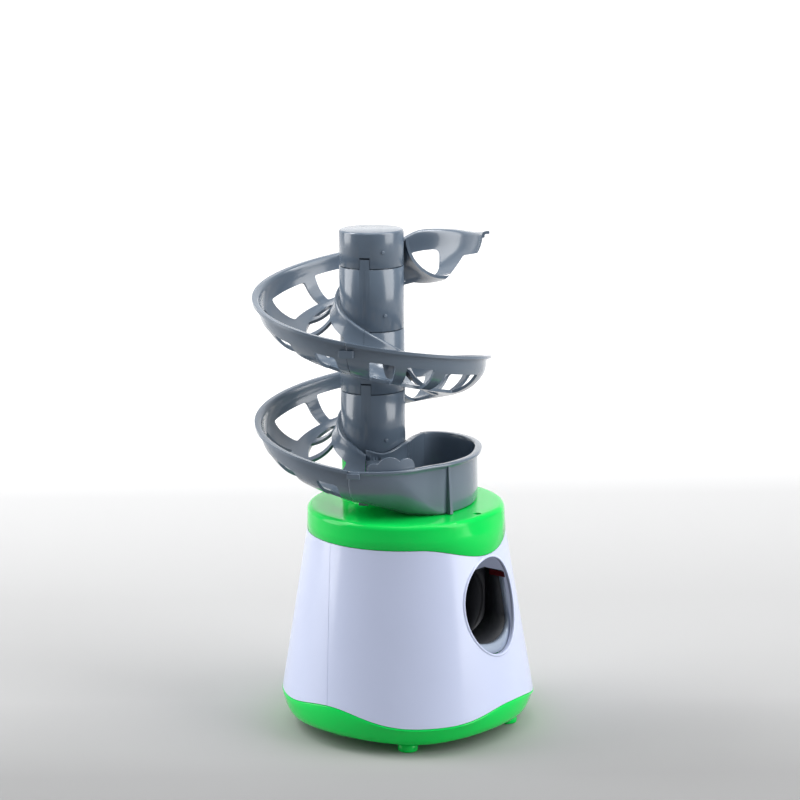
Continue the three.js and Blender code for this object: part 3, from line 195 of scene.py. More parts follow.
# Base tray: a shallow green bowl, moulded, whose rim rises and falls in waves under the shell.
# A low lip inside the rim centres the shell. The battery door fills the middle of its floor,
# and the battery box stands over the door.
def gloss_plastic(name, colour, roughness=0.24, coat=0.25, waviness=0.004, shine=0.5):
    plastic = bpy.data.materials.new(name)
    plastic.use_nodes = True
    surface = plastic.node_tree.nodes["Principled BSDF"]
    dial(surface, {"IOR": 1.5, "Specular IOR Level": shine})
    dial(surface, {"Coat Weight": coat, "Coat Roughness": 0.08})
    where = shade(plastic, "ShaderNodeTexCoord")
    swirl = shade(plastic, "ShaderNodeTexNoise", Scale=38.0, Detail=3.0, Roughness=0.5)
    shift = shade(plastic, "ShaderNodeMix", data_type="RGBA")
    deep = tuple(c * 0.975 for c in colour)
    pale = tuple(min(1, c * 1.015) for c in colour)
    mix_factor, mix_first, mix_second, mix_colour = 0, 6, 7, 2
    dial(shift, {mix_first: (*deep, 1), mix_second: (*pale, 1)})
    rub = shade(plastic, "ShaderNodeTexNoise", Scale=160.0, Detail=5.0, Roughness=0.6)
    dull = spread(plastic, 0.3, 0.75, roughness - 0.02, roughness + 0.03)
    skin = shade(plastic, "ShaderNodeTexNoise", Scale=420.0, Detail=2.0)
    grain = shade(plastic, "ShaderNodeBump", Strength=waviness, Distance=0.001)
    wire(
        plastic.node_tree,
        *[(where, "Object", texture, "Vector") for texture in (swirl, rub, skin)],
        (swirl, "Fac", shift, mix_factor), (shift, mix_colour, surface, "Base Color"),
        (rub, "Fac", dull, "Value"), (dull, "Result", surface, "Roughness"),
        (skin, "Fac", grain, "Height"), (grain, "Normal", surface, "Normal"),
    )
    return plastic


def piece(name, points, faces, material, back=body_back):
    points = [(x * mm, (y + back) * mm, z * mm) for x, y, z in points]
    return add_mesh(name, points, faces, material)


def settle(made):
    graph = bpy.context.evaluated_depsgraph_get()
    mesh = bpy.data.meshes.new_from_object(made.evaluated_get(graph), depsgraph=graph)
    made.modifiers.clear()
    made.data = mesh
    made.data.name = made.name
    return made


def soften(made, width, segments=3, angle=35):
    edge = made.modifiers.new("edge", "BEVEL")
    edge.width = width * mm
    edge.segments = segments
    edge.limit_method = "ANGLE"
    edge.angle_limit = math.radians(angle)
    edge.harden_normals = True
    edge.use_clamp_overlap = True
    return made


def cut(made, *tools, how="DIFFERENCE"):
    for tool in tools:
        knife = made.modifiers.new("cut", "BOOLEAN")
        knife.operation = how
        knife.solver = "EXACT"
        knife.object = tool
    settle(made)
    for tool in tools:
        bpy.data.objects.remove(tool)
    return made


def polar(radius, azimuth, level):
    turn = math.radians(azimuth)
    return (radius * math.cos(turn), radius * math.sin(turn), level)


def loop_faces(rows, columns, close_rows=False):
    """The faces between rings of points, row after row."""
    faces = []
    for i in range(rows if close_rows else rows - 1):
        here, there = i * columns, (i + 1) % rows * columns
        for j in range(columns):
            k = (j + 1) % columns
            faces.append((here + j, here + k, there + k, there + j))
    return faces


def end_faces(rows, columns):
    last = (rows - 1) * columns
    return [tuple(range(columns)), tuple(range(last, last + columns))[::-1]]


def bar_faces(columns):
    return loop_faces(2, columns) + [face[::-1] for face in end_faces(2, columns)]


def turned(name, profile, material, back=body_back, segments=192, closed=False):
    """A profile of (radius, level), numbers or functions of azimuth, turned all the way round."""

    def take(value, azimuth):
        return value(azimuth) if callable(value) else value

    azimuths = [360 * i / segments for i in range(segments)]
    points = [polar(take(r, a), a, take(z, a)) for r, z in profile for a in azimuths]
    faces = [face[::-1] for face in loop_faces(len(profile), segments, close_rows=closed)]
    if not closed:
        faces += end_faces(len(profile), segments)
    return outward(piece(name, points, faces, material, back))


def outward(made):
    shape = bmesh.new()
    shape.from_mesh(made.data)
    bmesh.ops.remove_doubles(shape, verts=shape.verts, dist=1e-6)
    bmesh.ops.recalc_face_normals(shape, faces=shape.faces)
    shape.to_mesh(made.data)
    shape.free()
    return made


def block(name, low, high, material, back=body_back):
    across, along, up = zip(low, high)
    points = [(x, y, z) for z in up for y in along for x in across]
    faces = [(0, 2, 3, 1), (4, 5, 7, 6), (0, 1, 5, 4), (2, 6, 7, 3), (0, 4, 6, 2), (1, 3, 7, 5)]
    return piece(name, points, faces, material, back)


def rod(name, radius, start, end, material, back=body_back, segments=48):
    """A straight round bar between two points."""
    start, end = Vector(start), Vector(end)
    turn = (end - start).to_track_quat("Z", "Y")
    points = []
    for base in (start, end):
        for i in range(segments):
            points.append(base + turn @ Vector(polar(radius, 360 * i / segments, 0)))
    return piece(name, points, bar_faces(segments), material, back)


edge_level, edge_wave = 21.6, 4.0
floor_level = 6.5
wall_foot, wall_taper = 80.2, 0.1667
rim_radius = 76.9


def tray_edge(azimuth):
    """The level of the rim: four waves, lower under the window and shallower at the rear."""
    turn = (azimuth + 180) % 360 - 180
    if -90 < turn < 0:
        turn = 90 * (1 + turn / 90) ** 1.25 - 90
    wave, ripple = (math.cos(math.radians(n * turn)) for n in (4, 8))
    dip, crest = (0.2, -0.21) if -135 < turn < -45 else (0.14, 0.13)
    if turn > 0:
        wave = 1 - 0.55 * (1 - wave)
    return edge_level + edge_wave * (wave + dip * (ripple - 1) + crest * (wave + 1))


def body_radius(level):
    return wall_foot - wall_taper * level


def tray_rim(azimuth):
    return rim_radius - wall_taper * (tray_edge(azimuth) - edge_level)


def tray_seat(azimuth):
    return body_radius(tray_edge(azimuth)) - 2.9


def shifted(value, amount):
    return lambda azimuth: value(azimuth) + amount


def sway(level, amount):
    """An underside level that dips four times round, as the rim does."""
    return lambda azimuth: level + amount * math.cos(math.radians(4 * azimuth))


green = gloss_plastic("green_plastic", (0.004, 0.72, 0.1), roughness=0.12, coat=0.0, shine=0.26)
base_tray = turned(
    "tray",
    [
        (64.5, floor_level),
        (67.6, floor_level),
        (68.8, sway(floor_level + 0.05, 0.55)),
        (70.2, sway(floor_level + 0.5, 1.2)),
        (71.8, sway(floor_level + 1.5, 1.1)),
        (73.5, sway(floor_level + 3.6, 0.5)),
        (75.2, 13.4),
        (lambda a: (75.9 + tray_rim(a)) / 2, lambda a: (15.2 + tray_edge(a)) / 2),
        (tray_rim, shifted(tray_edge, -0.9)),
        (shifted(tray_rim, -0.25), shifted(tray_edge, -0.25)),
        (shifted(tray_rim, -0.9), tray_edge),
        (tray_seat, tray_edge),
        (shifted(tray_seat, -0.4), shifted(tray_edge, 2.8)),
        (shifted(tray_seat, -1.3), shifted(tray_edge, 2.8)),
        (72.0, 14.5),
        (70.6, 11.4),
        (64.8, floor_level + 2.4),
    ],
    green,
)
def middle_block(name, half_wide, half_long, low, high):
    return block(name, (-half_wide, -half_long, low), (half_wide, half_long, high), green)


foot_places = [(62, azimuth) for azimuth in (38, 124, -142, -64)]
screw_places = [(63, azimuth) for azimuth in (68, 158, 248, 338)]
holes = [middle_block("door_hole", 26.7, 29.5, 0, 12)]
for radius, top, places in ((2.9, 13, foot_places), (3.4, 14, screw_places)):
    holes += [rod("hole", radius, polar(*at, 0), polar(*at, top), green) for at in places]
cut(base_tray, *holes)
soften(base_tray, 0.25, 2)
battery_box = middle_block("battery_box", 29.2, 31.8, 8.3, 27.2)
cut(battery_box, middle_block("box_room", 27.6, 30.2, 0, 25.6))
soften(battery_box, 0.4)


def seat(made, body, slot, *nodes):
    settle(made)
    if nodes:
        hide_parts(*nodes)
    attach(made, body)


seat(base_tray, "base", "green_plastic", "base_tray")
seat(battery_box, "base", "green_plastic")


# Feet: four short green pads, each with a rounded edge and a peg pressed up into the tray.
# One pad is drawn and a node tree sets it at the four places.
def numbers(tree, name, value):
    socket = tree.interface.new_socket(name, in_out="INPUT", socket_type="NodeSocketFloat")
    socket.default_value = value
    return socket.identifier


def shape_tree(name, entry):
    tree = bpy.data.node_groups.new(name, "GeometryNodeTree")
    for socket, way in ((entry, "INPUT"), ("Geometry", "OUTPUT")):
        tree.interface.new_socket(socket, in_out=way, socket_type="NodeSocketGeometry")
    return tree, tree.nodes.new("NodeGroupInput"), tree.nodes.new("NodeGroupOutput")


def paint_and_end(tree, last, output, material, end):
    """The last nodes of a tree: real geometry, the material, the group's output."""
    real = tree.nodes.new("GeometryNodeRealizeInstances")
    paint = tree.nodes.new("GeometryNodeSetMaterial")
    dial(paint, {"Material": material})
    wire(
        tree,
        (last, output, real, "Geometry"), (real, "Geometry", paint, "Geometry"),
        (paint, "Geometry", end, "Geometry"),
    )


def foot_tree(pad, material):
    tree, start, end = shape_tree("foot_ring", "Places")
    size = numbers(tree, "Pad size", 1.0)
    fetch = tree.nodes.new("GeometryNodeObjectInfo")
    dial(fetch, {"Object": pad})
    copies = tree.nodes.new("GeometryNodeInstanceOnPoints")
    wire(
        tree,
        (start, "Places", copies, "Points"), (fetch, "Geometry", copies, "Instance"),
        (start, "Pad size", copies, "Scale"),
    )
    paint_and_end(tree, copies, "Instances", material, end)
    return tree, size


foot_radius, peg_radius = 6.0, 2.6
pad_profile = [(foot_radius - 0.9, 0), (foot_radius - 0.3, 0.25), (foot_radius, 0.9)]
pad_profile += [(foot_radius, 6.2), (peg_radius, 6.25), (peg_radius, 8.6), (peg_radius - 0.4, 8.9)]
pad = turned("pad", pad_profile, green, back=0, segments=64)
feet = piece("feet", [polar(*at, 0) for at in foot_places], [], green)
ring = feet.modifiers.new("ring", "NODES")
ring.node_group, pad_size = foot_tree(pad, green)
ring[pad_size] = 1.0
seat(feet, "base", "green_plastic", "foot_1", "foot_2", "foot_3", "foot_4")
bpy.data.objects.remove(pad)


# Shell: two glossy white half cones that meet at a slightly leaning seam, front and rear,
# held by screws from below. The front one has the oval ball window with a proud rounded rim.
lid_level, tongue_depth, tongue_half = 121.3, 8.3, 46.0
shell_wall, seam_gap, seam_lean = 2.2, 0.22, 0.095


def from_front(azimuth):
    return abs((azimuth + 90 + 180) % 360 - 180)


def lid_edge(azimuth):
    share = min(1, from_front(azimuth) / tongue_half)
    return lid_level - tongue_depth * (1 + math.cos(math.pi * share)) / 2


def half_shell(name, side, material, columns=120, rows=14):
    def seam_turn(level):
        return math.degrees(math.asin(seam_lean * (level - floor_level) / body_radius(level)))

    points = []
    for wall in (0, shell_wall):
        for j in range(rows + 1):
            for i in range(columns + 1):
                share = i / columns
                rough = edge_level + (lid_level - edge_level) * j / rows
                off = seam_turn(rough)
                first, last = (off, 180 - off) if side > 0 else (-180 - off, off)
                azimuth = first + (last - first) * share
                low, high = tray_edge(azimuth) + 0.25, lid_edge(azimuth) - 0.25
                level = low + (high - low) * j / rows
                inset = math.degrees(seam_gap / 2 / body_radius(level))
                azimuth += inset if i == 0 else -inset if i == columns else 0
                points.append(polar(body_radius(level) - wall, azimuth, level))
    wide, sheet = columns + 1, (columns + 1) * (rows + 1)
    faces = []

    def quad(first, along, up):
        faces.append((first, first + along, first + along + up, first + up))

    for j in range(rows):
        for i in range(columns):
            quad(j * wide + i, 1, wide)
            quad(sheet + j * wide + i, wide, 1)
    for i in range(columns):
        quad(i, sheet, 1)
        quad(rows * wide + i, 1, sheet)
    for j in range(rows):
        quad(j * wide, wide, sheet)
        quad(j * wide + columns, sheet, wide)
    return outward(piece(name, points, faces, material))


window_half, window_tall, window_level = 22.4, 27.8, 82.2


def oval(angle, grow):
    turn = math.radians(angle)
    x, z = (window_half + grow) * math.cos(turn), (window_tall + grow) * math.sin(turn)
    return x, window_level + z


def oval_ring(name, section, material, segments=160):
    """A section of (growth, height proud of the shell) carried round the window."""
    points = []
    for i in range(segments):
        for grow, proud in section:
            x, z = oval(360 * i / segments, grow)
            points.append((x, -math.sqrt((body_radius(z) + proud) ** 2 - x * x), z))
    faces = loop_faces(segments, len(section), close_rows=True)
    return outward(piece(name, points, faces, material))


white = gloss_plastic("white_plastic", (0.61, 0.67, 0.88), roughness=0.24, coat=0.3)


def paint_inner_glow(plastic, strength):
    """Painted light: the faces inside the cone glow a little, an emission that stands in for
    daylight coming through the thin wall.
    """
    where = shade(plastic, "ShaderNodeTexCoord")
    centred = shade(plastic, "ShaderNodeMapping", vector_type="POINT")
    dial(centred, {"Location": (0, -body_back * mm, 0)})
    parts = shade(plastic, "ShaderNodeSeparateXYZ")
    across = shade(plastic, "ShaderNodeCombineXYZ")
    reach = shade(plastic, "ShaderNodeVectorMath", operation="LENGTH")
    slope = shade(plastic, "ShaderNodeMath", operation="MULTIPLY_ADD")
    inner_foot = (body_radius(0) - 1.6) * mm
    dial(slope, {1: (body_radius(100) - body_radius(0)) / 100, 2: inner_foot})
    within = shade(plastic, "ShaderNodeMath", operation="LESS_THAN")
    glow = shade(plastic, "ShaderNodeMath", operation="MULTIPLY")
    dial(glow, {1: strength})
    surface = plastic.node_tree.nodes["Principled BSDF"]
    dial(surface, {"Emission Color": (0.6, 0.62, 0.85, 1)})
    wire(
        plastic.node_tree,
        (where, "Object", centred, "Vector"), (centred, "Vector", parts, "Vector"),
        (parts, "X", across, "X"), (parts, "Y", across, "Y"),
        (across, "Vector", reach, 0), (parts, "Z", slope, 0),
        (reach, "Value", within, 0), (slope, "Value", within, 1),
        (within, "Value", glow, 0), (glow, "Value", surface, "Emission Strength"),
    )


# Painted light: the white shell's inner faces glow a pale lavender.
paint_inner_glow(white, 0.22)
white.cycles.emission_sampling = "NONE"
front_shell = half_shell("front_half", -1, white)
hole_steps, hole_grow, hole_front, hole_back = 96, 1.3, -90, -40
hole_outline = [oval(360 * i / hole_steps, hole_grow) for i in range(hole_steps)]
hole_points = [(x, y, z) for y in (hole_front, hole_back) for x, z in hole_outline]
hole = piece("window_hole", hole_points, bar_faces(hole_steps), white)
cut(front_shell, outward(hole))
soften(front_shell, 0.3, 2, angle=50)
window_rim = oval_ring(
    "window_rim",
    [(1.7, -2.3), (1.0, -2.2), (0.9, -0.3), (1.0, 0.25), (1.25, 0.5)]
    + [(1.6, 0.55), (1.95, 0.4), (2.3, 0.12), (2.6, -0.5)],
    white,
)
button_level = 38.5
rear_shell = half_shell("rear_half", 1, white)
button_hole = rod("button_hole", 5.35, (0, 60, button_level), (0, 90, button_level), white)
cut(rear_shell, button_hole)
soften(rear_shell, 0.3, 2, angle=50)
seat(front_shell, "base", "white_plastic", "front_shell")
seat(window_rim, "base", "white_plastic")
seat(rear_shell, "base", "white_plastic", "rear_shell")


# Power button: a round green cap in the rear shell that travels two millimetres inwards.
# Its face is slightly hollow and its edge is rounded.
def turned_y(name, profile, material, level, segments=72):
    """A profile of (radius, y) turned about a line along Y at a level."""
    points = []
    for radius, y in profile:
        for i in range(segments):
            turn = 2 * math.pi * i / segments
            points.append((radius * math.cos(turn), y, level + radius * math.sin(turn)))
    first, last = end_faces(len(profile), segments)
    faces = loop_faces(len(profile), segments) + [first, last[::-1]]
    return outward(piece(name, points, faces, material))


button_face = body_radius(button_level) + 3
button_line = [(0.6, 0.45), (3.4, 0.2), (4.1, 0), (4.6, 0.15), (4.95, 0.7)]
button_line += [(5.0, 6.7), (6.5, 6.9), (6.5, 8.2), (4.9, 8.4)]
button_profile = [(radius, button_face - depth) for radius, depth in button_line]
power_button = turned_y("button_cap", button_profile, green, button_level)
seat(power_button, "power_button", "green_plastic", "power_button")


# Launch chamber: a black moulded well under the lid's opening, with a round snout that aims
# at the window. In front of it stands the barrel's mouth, a black channel shaped like a U, with
# a pale grey lip and a dark red strip at its top right.
ball_radius, well_floor = 20, 58
ball_level = well_floor + ball_radius + 1
well_back = tower_back - body_back - well_reach
black = gloss_plastic("black_plastic", (0.02, 0.022, 0.027), roughness=0.5, coat=0.0, waviness=0.01)
pale_grey = gloss_plastic("pale_grey_plastic", (0.32, 0.38, 0.48), roughness=0.35, coat=0.1)
mouth_half, mouth_low, mouth_bend, mouth_top, mouth_back = 22.7, 71.0, 12.0, 96.5, -42.7


def mouth_path():
    """The channel's inside outline from its top left round the bottom: point, normal, lowness."""
    levels, steps = (mouth_top, 90, 84, 78, 74), 48
    path = [(-mouth_half, z, -1, 0, 0) for z in levels]
    for i in range(steps + 1):
        turn = math.pi * (1 + i / steps)
        x, z = math.cos(turn), math.sin(turn)
        out = Vector((x * mouth_bend, z * mouth_half)).normalized()
        low = max(0, -z) ** 1.5
        path.append((mouth_half * x, mouth_low + mouth_bend * z, out.x, out.y, low))
    return path + [(mouth_half, z, 1, 0, 0) for z in levels[::-1]]


def tube_faces(rows, columns):
    return loop_faces(rows, columns) + end_faces(rows, columns)


def channel(name, section, material):
    """A section of (outward, inset from the shell or a fixed y) carried along the mouth's path."""
    points = []
    for x, z, out_x, out_z, low in mouth_path():
        for reach, inset, fixed in section(low):
            px, pz = x + out_x * reach, z + out_z * reach
            y = mouth_back if fixed else -math.sqrt((body_radius(pz) - inset) ** 2 - px * px)
            points.append((px, y, pz))
    size = len(mouth_path()), len(section(0))
    return outward(piece(name, points, tube_faces(*size), material))


def rim_section(low):
    reach, forward = 1.2 + 4.3 * low, 1.3 * low
    line = [(0.0, 7.0), (0.0, 4.5), (0.3, 4.1), (0.6, 4.0 - 0.3 * forward)]
    line += [(reach - 0.35, 4.0 - forward), (reach, 4.4 - forward), (reach, 7.0)]
    return [(out, inset, False) for out, inset in line]


barrel = channel("barrel_ring", rim_section, pale_grey)
seat(barrel, "base", "pale_grey_plastic", "barrel_rim")
lining_section = ((0.08, 4.9, False), (0.08, 0, True), (1.1, 0, True), (1.1, 4.9, False))
lining = channel("barrel_lining", lambda low: lining_section, black)
seat(lining, "base", "black_plastic")
red = gloss_plastic("dark_red_plastic", (0.12, 0.006, 0.01), roughness=0.3, coat=0.1)
strip = block("barrel_strip", (mouth_half - 0.35, -58.5, 93.0), (mouth_half + 0.3, -46, 96.3), red)
soften(strip, 0.15)
seat(strip, "base", "dark_red_plastic")

well_bore, well_outer, well_top = 21.2, 23.2, 133.7
well_profile = [(well_bore, well_floor), (well_bore, well_top - 0.5), (well_bore + 0.5, well_top)]
well_profile += [(well_outer - 0.5, well_top), (well_outer, well_top - 0.5), (well_outer, 47.2)]
well_profile += [(well_bore, 47.2), (well_bore, 56), (0.5, 56)]
well = turned("chamber_well", well_profile, black, back=body_back + well_back, segments=128)
snout_front = well_back - 25


def bore(name, start, end):
    line = ((0, start, ball_level), (0, end, ball_level))
    return rod(name, well_bore, *line, black, segments=128)


snout_hole = bore("snout_hole", snout_front - 5, well_back)
kicker_gap = block("kicker_gap", (-6.2, well_back, 61), (6.2, well_back + 42, 126), black)
cut(well, snout_hole, kicker_gap)
snout_profile = [(well_outer - 0.5, snout_front), (well_outer, snout_front + 0.5)]
snout_profile += [(well_outer, well_back)]
snout = turned_y("chamber_snout", snout_profile, black, ball_level, segments=128)
well_line = ((0, well_back, 40), (0, well_back, 140))
well_room = rod("well_room", well_outer - 0.3, *well_line, black, segments=128)
cut(snout, bore("snout_bore", snout_front - 5, well_back + 5), well_room)
deck = block("chamber_deck", (-27, -45, 46), (27, 56, 48.5), black)
panel = block("chamber_panel", (-24.2, mouth_back, 50), (24.2, mouth_back + 1.6, mouth_top), black)
cut(panel, bore("panel_bore", -50, -30))
legs = [
    rod(f"deck_leg_{i + 1}", 4, (x, y, 27.6), (x, y, 47), black)
    for i, (x, y) in enumerate(((-22, -24), (-22, 24), (22, -24), (22, 24)))
]
soften(deck, 0.5)
for part in (well, snout, deck, panel, *legs):
    seat(part, "base", "black_plastic", *(["launch_chamber"] if part is well else []))


# Lid: a glossy green cap with a rounded shoulder and a tongue that dips over the window.
# The hollow post that carries the tower is moulded with it, and the balls drop through its opening.
lid_top, lid_shoulder, lid_bend, lid_flat = 136.2, 59.75, 3.1, 52.0
lid_band, lid_wall = 127, 2.2


def lid_face(azimuth):
    return 1.9 * max(0, 1 - (from_front(azimuth) / 22.5) ** 2)


def under_lid(azimuth):
    return body_radius(lid_edge(azimuth))


def lid_radius(level):
    def at(azimuth):
        low = lid_edge(azimuth)
        share = (level - low) / (lid_top - lid_bend - low)
        return body_radius(low) + (lid_shoulder - lid_face(azimuth) - body_radius(low)) * share

    return at


def lid_corner(angle):
    lean, fall = math.cos(math.radians(angle)), math.sin(math.radians(angle))
    return (
        lambda a: lid_shoulder - lid_face(a) - lid_bend + lid_bend * lean,
        lid_top - lid_bend + lid_bend * fall,
    )


lid = turned(
    "lid",
    [
        (lid_flat, lid_top),
        *[lid_corner(a) for a in range(90, -1, -15)],
        (lid_radius(lid_band), lid_band),
        (shifted(under_lid, 0.12), shifted(lid_edge, 0.35)),
        (shifted(under_lid, -0.2), lid_edge),
        (shifted(under_lid, -lid_wall), lid_edge),
        (shifted(lid_radius(lid_band), -lid_wall), lid_band),
        (lambda a: lid_shoulder - lid_face(a) - lid_wall, lid_top - lid_bend),
        (lid_flat, lid_top - lid_wall),
    ],
    green,
    segments=256,
)
mouth_radius = 20.6
inlet = rod("inlet", mouth_radius, (0, well_back, 128), (0, well_back, 140), green, segments=96)
screw_hole = rod("screw_hole", 2.3, (1.4, -52.6, 128), (1.4, -52.6, 140), green, segments=48)
cut(lid, inlet, screw_hole)
soften(lid, 0.35, 3, angle=60)
seat(lid, "base", "green_plastic", "top_lid")
column_radius, column_wall = 19.5, 2.2


def beside_column(*line):
    """A profile whose radii are counted from the column's outside."""
    return [(column_radius + reach, level) for reach, level in line]


post_profile = beside_column((-column_wall, lid_top - 1), (1.6, lid_top - 0.4), (1.6, lid_top))
post_profile += beside_column((0.55, lid_top + 0.35), (0.1, lid_top + 1.1), (0, lid_top + 2))
post_profile += beside_column((0, 162.5), (-0.4, 162.9), (-column_wall, 162.9))
post = turned("lid_post", post_profile, green, back=tower_back, closed=True)
seat(post, "base", "green_plastic")


# Hopper: the blue-grey bin at the foot of the track, a rounded trough with a level rim that
# deepens down to the lid and closes in a bow. It has a rolled lip, an outer rib, a clip, a tab
# and a collar that stands on the post.
grey = gloss_plastic("grey_plastic", (0.118, 0.158, 0.21), roughness=0.24, coat=0.5, shine=0.6)
seam_azimuth, hopper_rim, hopper_turn = -154, 167.6, 151
hopper_inner, hopper_outer, hopper_wall, trough_edge, bow_radius = 20.0, 63.2, 1.6, 69.0, 46.0
bow_start, bow_inside, start_depth = 105, 111, 21.8


def ease(value):
    value = min(1, max(0, value))
    return value * value * (3 - 2 * value)


def bin_sizes(turn):
    """The bin's outside, inside, bottom, corner and depth of the corner at one turn."""
    fall = min(1, turn / 34)
    start = hopper_rim - start_depth - hopper_wall
    bottom = start + (lid_top + 0.3 - start) * (0.6 * fall + 0.4 * ease(fall))
    swell = 1.4 * ease((turn - 40) / 14) * (1 - ease((turn - 74) / 24))
    widest = trough_edge + (hopper_outer - trough_edge) * ease((turn - 20) / 30) + swell
    narrow = ease((turn - 22) / 32)
    corner = (widest - hopper_inner) / 2 * (1 - narrow) + 1.4 * narrow
    closing = min(1, max(0, (turn - bow_start) / (hopper_turn - bow_start)))
    leaving = min(1, max(0, (turn - bow_inside) / (hopper_turn - bow_inside)))
    outside = bow_radius + 0.3 + (widest - bow_radius - 0.3) * math.sqrt(1 - closing * closing)
    inside = bow_radius - 0.3 - (bow_radius - 0.3 - hopper_inner) * math.sqrt(1 - leaving * leaving)
    corner = min(corner, (outside - inside) / 2 - 0.05)
    return outside, inside, bottom, corner, min(corner, hopper_rim - 4.3 - bottom)


def near_rim(turn):
    """The level of the rim on the column's side, which rises beside the column."""
    rise = 3.9 * ease((turn - 28) / 46) * (1 - ease((turn - 92) / 36))
    return hopper_rim + rise + 1.9 * (1 - ease(turn / 26))


def bin_edge(turn, side, reach):
    """A point on the bin's outline in plan, moved out of the bin by a reach."""
    here = Vector(polar(bin_sizes(turn)[side], turn, 0)).to_2d()
    step = 0.05 if turn + 0.05 < hopper_turn else -0.05
    there = Vector(polar(bin_sizes(turn + step)[side], turn + step, 0)).to_2d()
    along = (there - here) / step
    out = Vector((along.y, -along.x)).normalized() * (1 if side == 0 else -1)
    return here + out * reach


far_lip = ((0, 0.02), (0.8, 0.0), (0.96, 0.35), (1.0, 0.9), (0.92, 1.6), (0.5, 1.95), (0.12, 2.3))
near_lip = ((0.1, 2.2), (0.85, 1.7), (1.0, 0.9), (0.85, 0.3), (0.5, 0.0))


def bin_section(turn):
    """The bin's loop of points at one turn, down its outside and back up its inside."""
    outside, inside, bottom, corner, depth = bin_sizes(turn)
    arc = [math.radians(a) for a in range(0, 91, 10)]
    arc = [(1 - math.cos(a), 1 - math.sin(a)) for a in arc]
    shift = math.degrees(hopper_wall / bow_radius) * turn / hopper_turn
    wall = min(hopper_wall, (outside - inside) / 2 - 0.02)
    far_reach = 0.9 + 1.9 * ease((turn - 18) / 40)
    near_reach = 0.3 + 2.0 * ease((turn - 112) / 22)
    top, straight = near_rim(turn), hopper_rim - 4
    loop = [(*bin_edge(turn, 0, far_reach * s), hopper_rim - fall) for s, fall in far_lip]
    outer = [(outside, straight - (straight - bottom - depth) * k / 3) for k in (0, 1, 2)]
    outer += [(outside - corner * c, bottom + depth * s) for c, s in arc]
    outer += [(inside + corner * s, bottom + depth * c) for c, s in arc]
    outer += [(inside, hopper_rim - 5)]
    loop += [polar(r, turn, z) for r, z in outer]
    loop += [(*bin_edge(turn, 1, near_reach * s), top - fall) for s, fall in near_lip]
    bend, drop = max(0.02, corner - wall), max(0.02, depth - wall)
    low, far, near = bottom + wall, outside - wall, inside + wall
    bead = 0.6 * ease(turn / 20) * (1 - ease((turn - 112) / 30)) if wall > 1.5 else 0
    inner = [(near + bead * 0.6, top), (near + bead, top - 0.5), (near + bead, top - 1.1)]
    inner += [(near, top - 1.9), (near, hopper_rim - 5)]
    inner += [(near + bend * c, low + drop * s) for c, s in arc]
    inner += [(far - bend * s, low + drop * c) for c, s in arc]
    inner += [(far, straight), (far, hopper_rim - 0.5)]
    inner += [(far + 0.4 * wall / hopper_wall, hopper_rim)]
    return loop + [polar(r, turn - shift, z) for r, z in inner]


def hopper_bin():
    plain, bow = 84, 66
    turns = [bow_start * i / plain for i in range(plain)]
    for i in range(bow + 1):
        turns.append(bow_start + (hopper_turn - bow_start) * math.sin(math.pi / 2 * i / bow))
    rings = [bin_section(t) for t in turns]
    size = len(rings), len(rings[0])
    points = [point for ring in rings for point in ring]
    return piece("hopper_bin", points, tube_faces(*size), grey, 0)


def wedge(name, inside, outside, low, high, azimuth, half, material, steps=8):
    """A block bent about the column, half its width each side of an azimuth, in millimetres."""
    points = []
    for i in range(steps + 1):
        turn = azimuth + math.degrees(half / outside) * (2 * i / steps - 1)
        corners = ((inside, low), (outside, low), (outside, high), (inside, high))
        points += [polar(r, turn, z) for r, z in corners]
    return outward(piece(name, points, tube_faces(steps + 1, 4), material, 0))


def fit_on_tower(parts, body, node, level=0, azimuth=seam_azimuth):
    """Set a body's pieces on the tower; the first one takes the place of its node."""
    for made in parts:
        made.data.transform(Matrix.Rotation(math.radians(azimuth), 4, "Z"))
        made.data.transform(Matrix.Translation((0, tower_back * mm, level * mm)))
        seat(made, body, "grey_plastic", *([node] if made is parts[0] else []))


hopper = outward(hopper_bin())
mouth_turn = -90 - seam_azimuth
mouth_line = [polar(well_reach, mouth_turn, level) for level in (120, 139.5)]
mouth = rod("mouth", mouth_radius, *mouth_line, grey, 0, segments=96)
cut(hopper, mouth)
rib_turn, rib_foot = 55.5, 66.0
rib_points = []
for reach, level, half in ((3.2, lid_top + 0.3, 1.3), (1.2, hopper_rim - 2, 0.9)):
    for side in (-1, 1):
        for radius in (rib_foot - 3.5, rib_foot + reach - 1.4):
            rib_points.append(polar(radius, rib_turn + side * math.degrees(half / rib_foot), level))
rib_faces = [(0, 1, 3, 2), (4, 6, 7, 5), (0, 4, 5, 1), (2, 3, 7, 6), (1, 5, 7, 3), (0, 2, 6, 4)]
rib = piece("hopper_rib", rib_points, rib_faces, grey, 0)
soften(rib, 0.35, 3)
collar_profile = beside_column((-2.4, 154), (-2.4, 163.2), (0.9, 163.2), (0.9, 164.5))
collar_profile += beside_column((0.5, 164.8), (-2.4, 164.8), (-2.4, 170), (-2.9, 170.2))
collar_profile += beside_column((-4.3, 170.2), (-4.3, 154))
collar = turned("hopper_collar", collar_profile, grey, back=0, closed=True)
hopper_clip = soften(wedge("hopper_clip", 68.6, 71.4, 163.4, 166.9, 2.9, 3.9, grey), 0.5)
hopper_tab = soften(wedge("hopper_tab", 44, 49.5, 142.2, 145.4, 5.5, 3.1, grey), 0.4)
fit_on_tower((hopper, rib, collar, hopper_clip, hopper_tab), "hopper", "hopper")


# Guard: a thin blue-grey plate with a scalloped top that stands inside the hopper's front wall
# and keeps a rolling ball from hopping over it.
def guard_top(share):
    lobes = ((0.13, 0.14, 0.5), (0.44, 0.26, 1.0), (0.79, 0.21, 0.78))
    rise = max(h * math.sqrt(max(0, 1 - ((share - c) / w) ** 2)) for c, w, h in lobes)
    return guard_shoulder + 7.0 * rise


